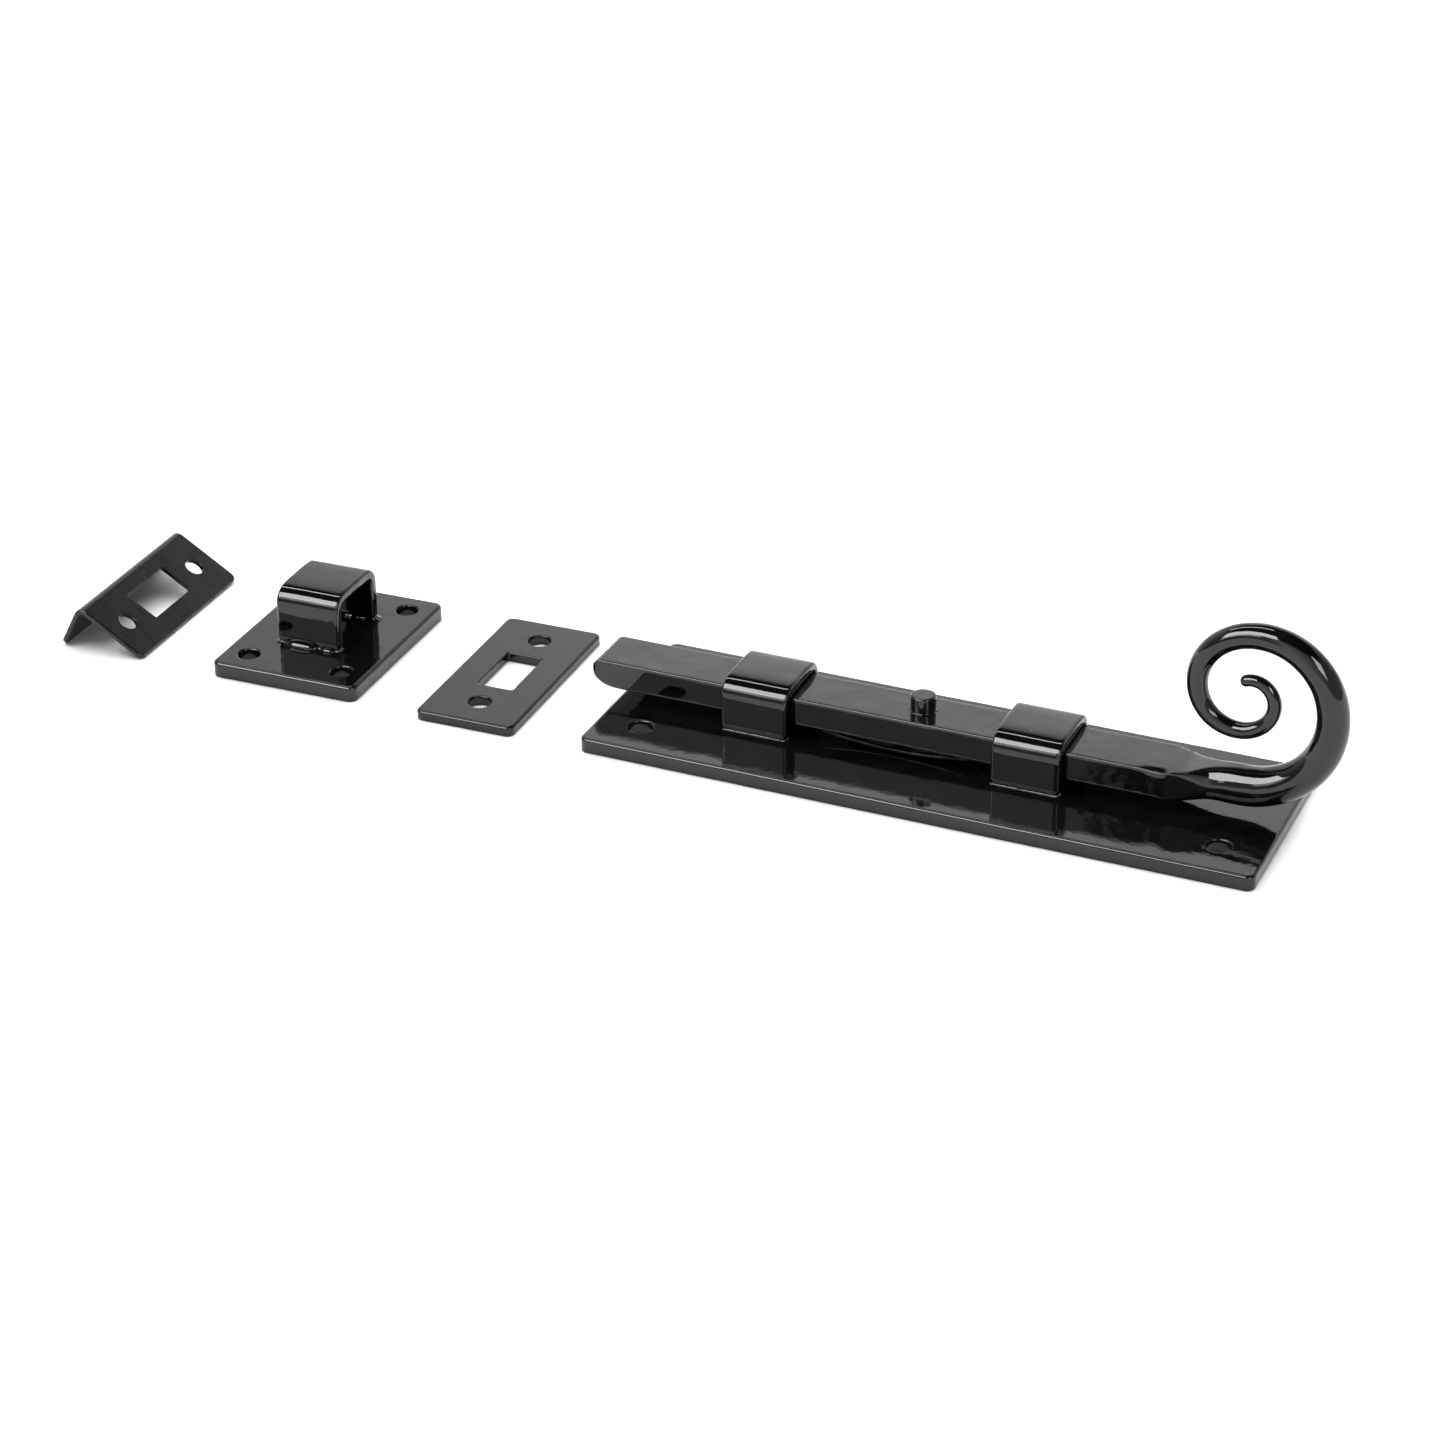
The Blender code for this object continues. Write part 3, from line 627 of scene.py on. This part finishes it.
def staple_mesh(size, foot, shift, bead, seed):
    """Strap bent over the bolt, with wavy forged edges, tenons and paint pooled round its feet."""
    length, width, top = size
    taper_height, taper_length, taper_thickness = FOOT_TAPER
    ripple_depth, ripple_size = STRAP_RIPPLE
    bm = bmesh.new()
    rings = []
    for centre, out in strap_path(width, top, foot + 0.00002, shift):
        near_foot = 1 - smooth(centre.z, foot, foot + taper_height)
        half_length = length / 2 - taper_length * near_foot ** 3
        half_thickness = STRAP_THICKNESS / 2 - taper_thickness * near_foot ** 2
        ring = []
        for u, v in rectangle_ring(half_length, half_thickness, STRAP_EDGE, 22, 3):
            edge_seed = seed + (1 if u > 0 else 2)
            ripple = ripple_depth * (wave(centre, ripple_size, edge_seed) - 1)
            u += math.copysign(1, u) * ripple * smooth(abs(u), half_length * 0.6, half_length)
            ring.append(centre + Vector((u, 0, 0)) + out * v)
        rings.append(ring)
    loft(bm, rings)
    hammered(bm, 0.00006, 0.0055, seed, keep=lambda co: smooth(co.z, foot, foot + 0.002))
    leg = (width - STRAP_THICKNESS) / 2
    for side in (-1, 1):
        middle = Vector((shift[0], shift[1] + side * leg, 0))
        borders = []
        for grow in BEAD_BORDERS:
            half_u, half_v = length / 2 + grow, STRAP_THICKNESS / 2 + grow
            outline = rectangle_ring(half_u, half_v, STRAP_EDGE + grow, 46, 8)
            borders.append([middle + p.to_3d() + UP * foot for p in outline])
        paint_bead(bm, *borders, *bead, seed + side)
        tenon = rectangle_ring(TENON_SIZE[0] / 2, TENON_SIZE[1] / 2, GAP, 1, 1, 3)
        levels = ((0.86, TENON_END), (1.0, TENON_END + 0.00025), (1.0, foot + 0.0001))
        loft(bm, [[middle + p.to_3d() * grow + UP * z for p in tenon] for grow, z in levels])
    return bm


def build_spring(material):
    """Bowed leaf: belly riveted to the plate, ends pressing up under the bar."""
    belly = PLATE_SIZE[2] + GAP + SPRING_THICKNESS / 2
    rise = BAR_BOTTOM - GAP - SPRING_THICKNESS / 2 - belly
    radius = (SPRING_HALF_LENGTH ** 2 + rise ** 2) / (2 * rise)
    reach = math.asin(SPRING_HALF_LENGTH / radius)
    steps, rounded_steps = 32, 3
    rings = []
    for i in range(-steps, steps + 1):
        angle = reach * i / steps
        height = belly + radius * (1 - math.cos(angle))
        centre = Vector((SPRING_X + radius * math.sin(angle), 0, height))
        up = Vector((-math.sin(angle), 0, math.cos(angle)))
        past = max(0.0, (abs(i) - steps + rounded_steps) / 3.6)
        rounding = math.sqrt(max(0.0, 1 - past ** 2))
        half_width = SPRING_HALF_WIDTH * mix(0.7, 1, rounding)
        outline = rectangle_ring(half_width, SPRING_THICKNESS / 2, 0.00022, 8, 1, 3)
        rings.append([centre + Vector((0, u, 0)) + up * v for u, v in outline])
    bm = bmesh.new()
    loft(bm, rings)
    return make_piece("friction_spring_look", bm, material)


def build_spring_rivet(material):
    """Low domed rivet through the spring's belly."""
    seat = PLATE_SIZE[2] + 2 * GAP + SPRING_THICKNESS
    rim, dome = 0.00012, 0.00068
    profile = [(RIVET_RADIUS - GAP, TENON_END), (RIVET_RADIUS, TENON_END + GAP)]
    profile += [(RIVET_RADIUS, seat), (RIVET_HEAD_RADIUS - 0.0001, seat)]
    for i in range(9):
        angle = math.pi / 2 * i / 9
        height = seat + rim + dome * math.sin(angle)
        profile.append((RIVET_HEAD_RADIUS * math.cos(angle), height))
    bm = bmesh.new()
    turned(bm, profile, SPRING_X, 0)
    return make_piece("spring_rivet_look", bm, material)


# ---------------------------------------------------------------- bolt


def bar_ring(x):
    """Cross-section of the bar at x: its nose is blunt above and eased into a long lead below."""
    depth = x - BAR_NOSE_X
    top, bottom = BAR_TOP, BAR_BOTTOM
    middle = BAR_TOP - NOSE_TOP_RADIUS
    if depth < NOSE_TOP_RADIUS:
        top = middle + math.sqrt(NOSE_TOP_RADIUS ** 2 - (NOSE_TOP_RADIUS - depth) ** 2)
    if depth < NOSE_LEAD:
        share = 1 - depth / NOSE_LEAD
        bottom = middle - (middle - BAR_BOTTOM) * math.sqrt(1 - share * share)
    eased = max(0.0, 1 - depth / NOSE_EDGE)
    half_width = BAR_HALF_WIDTH - NOSE_EDGE * (1 - math.sqrt(1 - eased * eased))
    centre = Vector((x, 0, (top + bottom) / 2))
    outline = rectangle_ring(half_width, (top - bottom) / 2, BAR_EDGE, 18, 10)
    return [centre + Vector((0, u, v)) for u, v in outline]


def scroll_point(turn):
    """Point on the scroll's tightening spiral, a turn in radians beyond its start."""
    radius = SCROLL_START_RADIUS * math.exp(-SCROLL_SHRINK * turn - SCROLL_TIGHTEN * turn * turn)
    angle = SCROLL_START_ANGLE + turn
    x, z = SCROLL_CENTRE
    return Vector((x + radius * math.cos(angle), 0, z + radius * math.sin(angle)))


def tail_centre_line():
    """Straight run from the bar, an arc up to the scroll, then the scroll to its tip."""
    bar_z = (BAR_BOTTOM + BAR_TOP) / 2
    axis_z = bar_z + TAIL_AXIS_LIFT
    start = scroll_point(0)
    heading = math.pi / 2 + SCROLL_START_ANGLE + math.atan(SCROLL_SHRINK)
    radius = (start.z - axis_z) / (1 - math.cos(heading))
    arc_x = start.x - radius * math.sin(heading)
    straight_steps, arc_steps, scroll_steps = 56, 40, 250
    points = []
    for i in range(straight_steps):
        x = mix(BAR_END_X, arc_x, i / straight_steps)
        points.append(Vector((x, 0, bar_z + TAIL_AXIS_LIFT * smooth(x, *TAIL_AXIS_LIFTS))))
    for i in range(arc_steps):
        angle = heading * i / arc_steps
        x, z = arc_x + radius * math.sin(angle), axis_z + radius * (1 - math.cos(angle))
        points.append(Vector((x, 0, z)))
    return points + [scroll_point(SCROLL_SWEEP * i / scroll_steps) for i in range(scroll_steps + 1)]


def facets(x, rod):
    """Forged faces of the tail at x, as (direction, distance from the axis) seen along the bolt."""
    near = mix(BAR_HALF_WIDTH, rod, smooth(x, *TAIL_NEAR_SIDE_CLOSES))
    far = mix(BAR_HALF_WIDTH, rod + TAIL_FAR_BULGE, smooth(x, *TAIL_FAR_SIDE_CLOSES))
    tall = smooth(x, *TAIL_GROWS_TALL)
    top = mix(BAR_HALF_HEIGHT, rod + TAIL_TALLER, tall)
    low = mix(BAR_HALF_HEIGHT, rod - TAIL_TALLER, tall)
    deepening = smooth(x, *TAIL_CHAMFERS_DEEPEN)
    faces = [(0, far), (180, near), (90, top), (270, low)]
    for angle, depth in CHAMFER_DEPTHS.items():
        turn = math.radians(angle)
        side = near if 90 < angle < 270 else far
        height = top if angle < 180 else low
        corner = abs(math.cos(turn)) * side + abs(math.sin(turn)) * height
        faces.append((angle, corner - depth * deepening + CHAMFER_CLEARANCE * (1 - deepening)))
    struck = smooth(x, *TAIL_HAMMER_BLOWS)
    hammered_faces = []
    for k, (angle, distance) in enumerate(faces):
        blow = 1 + BLOW_SHARE * wave((x, 0, 0), BLOW_SIZE, 11 + k) * struck
        hammered_faces.append((math.radians(angle), distance * blow))
    return hammered_faces


def faceted_radius(angle, faces, power):
    """Distance to the faces' common outline, softened at its ridges."""
    total = 0.0
    for direction, distance in faces:
        total += (max(0.0, math.cos(angle - direction)) / distance) ** power
    return total ** (-1 / power)


def tail_rings():
    """Sections along the tail: the bar's rectangle, forged facets, then a tapering round rod."""
    line = tail_centre_line()
    reference = [Vector((p.y, p.z - (BAR_BOTTOM + BAR_TOP) / 2)) for p in bar_ring(BAR_END_X)]
    count = len(reference)
    square = [math.atan2(v, u) % (2 * math.pi) for u, v in reference]
    even = [square[0] + 2 * math.pi * i / count for i in range(count)]
    travelled = [0.0]
    for before, after in zip(line, line[1:]):
        travelled.append(travelled[-1] + (after - before).length)
    root = TAIL_ROOT_X - line[0].x
    rings = []
    for i, point in enumerate(line):
        ahead, behind = line[min(i + 1, len(line) - 1)], line[max(i - 1, 0)]
        forward = (ahead - behind).normalized()
        up = Vector((-forward.z, 0, forward.x))
        along = max(0.0, travelled[i] - root) / (travelled[-1] - root)
        rod = mix(TAIL_ROOT_DIAMETER, TAIL_TIP_DIAMETER, along) / 2
        x = line[0].x + travelled[i]
        faces = facets(x, rod)
        near_power = mix(CRISP_RIDGE, SOFT_RIDGE, smooth(x, *TAIL_NEAR_SIDE_CLOSES))
        crisp = 1 - smooth(x, *TAIL_FAR_RIDGES_SOFTEN)
        rounded = smooth(x, *TAIL_TURNS_ROUND)
        shaped = smooth(x, *TAIL_LEAVES_BAR)
        evened = smooth(x, *TAIL_CORNERS_EVEN_OUT)
        ring = []
        for k in range(count):
            angle = mix(square[k], even[k], evened)
            far_side = smooth(math.cos(angle), -0.1, 0.3) * crisp
            power = mix(near_power, CRISP_RIDGE, far_side)
            radius = mix(faceted_radius(angle, faces, power), rod, rounded)
            flat = Vector((math.cos(angle), math.sin(angle))) * radius
            flat = reference[k].lerp(flat, shaped)
            ring.append(point + Vector((0, flat.x, 0)) + up * flat.y)
        rings.append(ring)
    tip, rod = line[-1], TAIL_TIP_DIAMETER / 2
    forward = (line[-1] - line[-2]).normalized()
    up = Vector((-forward.z, 0, forward.x))
    for i in range(1, 7):
        angle = math.pi / 2 * i / 6.5
        ring = [Vector((0, math.cos(a), 0)) + up * math.sin(a) for a in even]
        centre = tip + forward * rod * math.sin(angle)
        rings.append([centre + p * rod * math.cos(angle) for p in ring])
    return rings


def dented(bm):
    """Hammer dent in the near upper edge where the tail was drawn out of the bar."""
    for vertex in bm.verts:
        x, y, z = vertex.co
        share = smooth(x, *DENT_DEEPENS) * (1 - smooth(x, *DENT_ENDS))
        share *= smooth(-y, *DENT_NEAR) * smooth(z, *DENT_UPPER)
        vertex.co += DENT_PUSH * share


def build_forging(material):
    """The bar and its scrolled tail, forged in one piece."""
    places = [BAR_NOSE_X + depth for depth in NOSE_DEPTHS]
    first, steps = places[-1], 150
    places += [mix(first, BAR_END_X, i / steps) for i in range(1, steps)]
    bm = bmesh.new()
    loft(bm, [bar_ring(x) for x in places] + tail_rings())
    dented(bm)
    hammered(bm, depth=0.00009, size=0.0075, seed=21)
    hammered(bm, depth=0.00004, size=0.0026, seed=22)
    return make_piece("bolt_forging_look", bm, material)


def build_pin(material):
    """Stop pin with a worn rim, standing in a bead of paint."""
    profile = [(PIN_RADIUS * 0.97, BAR_TOP - 0.0004), (PIN_RADIUS, BAR_TOP + 0.0003)]
    profile += [(PIN_RADIUS, mix(BAR_TOP, PIN_TOP, share)) for share in (0.3, 0.55, 0.8)]
    for i in range(6):
        angle = math.pi / 2 * i / 5
        inset, drop = PIN_EDGE * (1 - math.cos(angle)), PIN_EDGE * (1 - math.sin(angle))
        profile.append((PIN_RADIUS - inset, PIN_TOP - drop))
    profile += [(0.0018, PIN_TOP), (0.0009, PIN_TOP)]
    bm = bmesh.new()
    turned(bm, profile, PIN_X, 0, sides=64)
    hammered(bm, depth=0.00008, size=0.0022, seed=31)
    borders = []
    for grow in PIN_BEAD_BORDERS:
        outline = circle_ring(PIN_X, 0, PIN_RADIUS + grow, 96)
        borders.append([p.to_3d() + UP * (BAR_TOP - 0.00006) for p in outline])
    paint_bead(bm, *borders, *PIN_BEAD, 33)
    return make_piece("stop_pin_look", bm, material)


# ---------------------------------------------------------------- keeps


def keep_place(offset_x):
    """Places a keep modelled about its own middle on the slightly twisted row."""
    row = Matrix.Translation((*FLAT_KEEP_PLACE, 0)) @ Matrix.Rotation(ROW_TWIST, 4, "Z")
    return row @ Matrix.Translation((offset_x, 0, 0))


def build_flat_keep(material):
    length, width, thickness = FLAT_SIZE
    y, radius = FLAT_HOLES
    places = [(0, -y), (0, y)]
    cut = holes(places, radius, rim=0.00035)
    cut.append(opening(0, 0, *FLAT_WINDOW, corner=0.0004, rim=0.0003))
    outline = flat_outline(length, width, FLAT_CORNER)
    bm = plate(outline, cut, thickness, FLAT_EDGE, spacing=0.0008, seed=41)
    rims = [(*place, radius) for place in places]
    rolled(bm, thickness, depth=0.00006, size=0.012, seed=43, rims=rims)
    return make_piece("flat_keep_look", bm, material, keep_place(0))


def build_bridge_plate(material):
    length, width, thickness = BRIDGE_SIZE
    x, y, radius = BRIDGE_HOLES
    corners = [(sx * x, sy * y) for sx in (-1, 1) for sy in (-1, 1)]
    cut = holes(corners, radius, rim=0.0004)
    cut += tenon_slots(*BRIDGE_STAPLE_SHIFT, BRIDGE_STAPLE_SIZE[1])
    outline = flat_outline(length, width, PLATE_CORNER)
    bm = plate(outline, cut, thickness, BRIDGE_EDGE, spacing=0.0009, seed=51)
    rims = [(*corner, radius) for corner in corners]
    rolled(bm, thickness, depth=0.00009, size=0.015, seed=53, rims=rims)
    return make_piece("bridge_keep_plate_look", bm, material, keep_place(BRIDGE_KEEP_OFFSET))


def build_bridge_staple(material):
    """Staple of the bridge keep; drops of enamel ran down and set against its near foot."""
    foot_z = BRIDGE_SIZE[2]
    bm = staple_mesh(BRIDGE_STAPLE_SIZE, foot_z, BRIDGE_STAPLE_SHIFT, BRIDGE_BEAD, 91)
    foot_y = BRIDGE_STAPLE_SHIFT[1] - BRIDGE_STAPLE_SIZE[1] / 2
    for x, half_length, reach in BRIDGE_DROPS:
        middle = Vector((BRIDGE_STAPLE_SHIFT[0] + x, foot_y, foot_z))
        drop = Matrix.Translation(middle) @ Matrix.Diagonal((half_length, reach, reach * 0.9, 1))
        bmesh.ops.create_uvsphere(bm, u_segments=40, v_segments=20, radius=1, matrix=drop)
    return make_piece("bridge_keep_staple_look", bm, material, keep_place(BRIDGE_KEEP_OFFSET))


def bent(co, flat_bend):
    """Takes a point of the flat blank to its place on the bent angle, ridge uppermost."""
    depth = ANGLE_THICKNESS - co.z
    tangent = ANGLE_BEND_RADIUS / math.tan(ANGLE_BEND / 2)
    turn = math.pi - ANGLE_BEND
    if co.x >= 0:
        u, w = tangent + co.x, -depth
    else:
        angle = min(-co.x, flat_bend) / flat_bend * turn
        extra = max(0.0, -co.x - flat_bend)
        radius = ANGLE_BEND_RADIUS - depth
        u = tangent - radius * math.sin(angle) + extra * math.cos(ANGLE_BEND)
        w = -ANGLE_BEND_RADIUS + radius * math.cos(angle) - extra * math.sin(ANGLE_BEND)
    return Vector((u, co.y, w))


def build_angle_keep(material):
    """Sheet blanked flat, then folded over its ridge, with softened edges all round."""
    tangent = ANGLE_BEND_RADIUS / math.tan(ANGLE_BEND / 2)
    flat_bend = ANGLE_BEND_RADIUS * (math.pi - ANGLE_BEND)
    low = -(ANGLE_SHORT_LEG - tangent + flat_bend)
    high = ANGLE_LONG_LEG - tangent
    middle = Vector(((low + high) / 2, 0))
    outline = [p + middle for p in flat_outline(high - low, ANGLE_WIDTH, ANGLE_CORNER)]
    window_u, window_v, window_x = ANGLE_WINDOW
    hole_x, hole_y, radius = ANGLE_HOLES
    places = [(hole_x - tangent, side * hole_y) for side in (-1, 1)]
    cut = holes(places, radius, rim=0.0002)
    cut.append(opening(window_x - tangent, 0, window_u, window_v, corner=0.0003, rim=0.00018))
    bm = plate(outline, cut, ANGLE_THICKNESS, ANGLE_EDGE, spacing=0.0006, seed=61, wobble=0.00005)
    rolled(bm, ANGLE_THICKNESS, depth=0.00005, size=0.010, seed=63)
    for vertex in bm.verts:
        vertex.co = bent(vertex.co, flat_bend)
    stance = Matrix.Translation((0, 0, ANGLE_RIDGE)) @ Matrix.Rotation(ANGLE_TILT, 4, "Y")
    return make_piece("angle_keep_look", bm, material, keep_place(ANGLE_KEEP_OFFSET) @ stance)


# ---------------------------------------------------------------- studio


def build_world():
    """Pale studio walls under a dark ceiling, dimmer on the scroll's side and near on the left."""
    world = bpy.data.worlds.new("studio")
    bpy.context.scene.world = world
    world.use_nodes = True
    tree = world.node_tree
    background = tree.nodes["Background"]
    direction = node(tree, "ShaderNodeSeparateXYZ")
    generated = node(tree, "ShaderNodeTexCoord").outputs["Generated"]
    tree.links.new(generated, direction.inputs["Vector"])
    x, y, z = (direction.outputs[axis] for axis in "XYZ")
    walls = node(tree, "ShaderNodeValToRGB")
    stops = walls.color_ramp.elements
    stops[1].position = WALL_LEVELS[-1][0]
    for height, _, _ in WALL_LEVELS[1:-1]:
        stops.new(height)
    for stop, (_, grey, blue) in zip(stops, WALL_LEVELS):
        stop.color = (grey, grey, blue, 1)
    tree.links.new(z, walls.inputs["Fac"])
    near_left = combined(tree, "MAXIMUM", spread(tree, y, *DIMMER_NEARBY),
                         spread(tree, x, *DIMMER_TO_THE_LEFT))
    shade = combined(tree, "MULTIPLY", spread(tree, x, *DIMMER_TO_THE_RIGHT), near_left)
    shade = combined(tree, "MULTIPLY", spread(tree, x, *DIMMER_AT_FAR_LEFT), shade)
    tree.links.new(walls.outputs["Color"], background.inputs["Color"])
    tree.links.new(shade, background.inputs["Strength"])


def build_floor():
    """Plain pale floor, wide enough that its edge is out of sight."""
    bm = bmesh.new()
    bmesh.ops.create_circle(bm, cap_ends=True, segments=96, radius=FLOOR_RADIUS)
    mesh = bpy.data.meshes.new("studio_floor")
    bm.to_mesh(mesh)
    bm.free()
    floor = bpy.data.objects.new("studio_floor", mesh)
    bpy.context.scene.collection.objects.link(floor)
    material = bpy.data.materials.new("studio_floor")
    material.use_nodes = True
    shader = material.node_tree.nodes["Principled BSDF"]
    shader.inputs["Base Color"].default_value = (0.8, 0.8, 0.8, 1)
    shader.inputs["Roughness"].default_value = 0.9
    shader.inputs["Specular IOR Level"].default_value = 0.0
    mesh.materials.append(material)


def add_softbox(name, direction, size, radiance):
    """Rectangular lamp that faces the object from a direction and shows only in reflections."""
    lamp = bpy.data.lights.new(name, "AREA")
    lamp.shape = "RECTANGLE"
    lamp.size, lamp.size_y = size
    lamp.energy = radiance * math.pi * size[0] * size[1]
    box = bpy.data.objects.new(name, lamp)
    bpy.context.scene.collection.objects.link(box)
    away = Vector(direction).normalized()
    box.location = OBJECT_MIDDLE + away * SOFTBOX_DISTANCE
    side = Vector((1, 0, 0)) - away * away.x
    side.normalize()
    turn = Matrix((side, away.cross(side), away)).transposed()
    box.rotation_euler = turn.to_euler()
    box.visible_diffuse = False


def build_lights():
    """The softboxes, and a broad glow from above that lights the floor and casts soft shadows."""
    for name, (direction, size, radiance) in SOFTBOXES.items():
        add_softbox(name, direction, size, radiance)
    lamp = bpy.data.lights.new("ceiling_glow", "SUN")
    lamp.energy = GLOW_STRENGTH
    lamp.angle = GLOW_ANGLE
    glow = bpy.data.objects.new("ceiling_glow", lamp)
    glow.rotation_euler = GLOW_TURN
    glow.visible_glossy = False
    bpy.context.scene.collection.objects.link(glow)


def build_camera():
    data = bpy.data.cameras.new("camera")
    data.lens = CAMERA_LENS
    data.clip_start = 0.05
    camera = bpy.data.objects.new("camera", data)
    bpy.context.scene.collection.objects.link(camera)
    back = (CAMERA_PLACE - CAMERA_AIM).normalized()
    right = UP.cross(back).normalized()
    up = back.cross(right)
    rolled_right = right * math.cos(CAMERA_ROLL) + up * math.sin(CAMERA_ROLL)
    rolled_up = up * math.cos(CAMERA_ROLL) - right * math.sin(CAMERA_ROLL)
    turn = Matrix((rolled_right, rolled_up, back)).transposed().to_4x4()
    camera.matrix_world = Matrix.Translation(CAMERA_PLACE) @ turn
    bpy.context.scene.camera = camera


# ---------------------------------------------------------------- assembly


def place_piece(piece, body, slot, *nodes):
    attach(piece, body)
    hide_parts(*nodes)


def build_object():
    gloss = painted("gloss_enamel_look", gloss=(0.03, 0.09), shine=0.5,
                    waves=0.00004, peel=0.000008, grain=0.0000007)
    satin = painted("satin_enamel_look", gloss=(0.09, 0.15), shine=0.42,
                    waves=0.00003, peel=0.000010, grain=0.0000012)
    steel = spring_steel()
    place_piece(build_back_plate(gloss), "base", "gloss_enamel", "back_plate")
    for seed, (name, x) in enumerate(STAPLE_XS.items()):
        bm = staple_mesh(STAPLE_SIZE, PLATE_SIZE[2], (x, 0), STAPLE_BEAD, 71 + 10 * seed)
        place_piece(make_piece(name + "_look", bm, gloss), "base", "gloss_enamel", name)
    place_piece(build_spring(steel), "base", "spring_steel", "friction_spring")
    place_piece(build_spring_rivet(steel), "base", "spring_steel", "spring_rivet")
    place_piece(build_forging(gloss), "bolt", "gloss_enamel", "bolt_bar", "scroll_tail")
    place_piece(build_pin(gloss), "bolt", "gloss_enamel", "stop_pin")
    place_piece(build_flat_keep(satin), "flat_keep", "satin_enamel", "flat_keep_plate")
    place_piece(build_bridge_plate(gloss), "bridge_keep", "gloss_enamel", "bridge_keep_plate")
    place_piece(build_bridge_staple(gloss), "bridge_keep", "gloss_enamel", "bridge_keep_staple")
    place_piece(build_angle_keep(satin), "angle_keep", "satin_enamel", "angle_keep_plate")


def record_size():
    """Updates the view layer."""
    bpy.context.view_layer.update()


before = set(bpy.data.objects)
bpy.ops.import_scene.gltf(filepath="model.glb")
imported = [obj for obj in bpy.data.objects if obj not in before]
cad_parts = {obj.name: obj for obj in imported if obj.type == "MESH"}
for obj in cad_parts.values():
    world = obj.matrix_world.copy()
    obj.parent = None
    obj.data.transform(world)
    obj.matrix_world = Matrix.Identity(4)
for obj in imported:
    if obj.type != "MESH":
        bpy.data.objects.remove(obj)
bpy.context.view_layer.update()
build_camera()
build_world()
build_floor()
build_lights()
build_object()
bpy.context.scene.view_settings.view_transform = "Standard"
record_size()
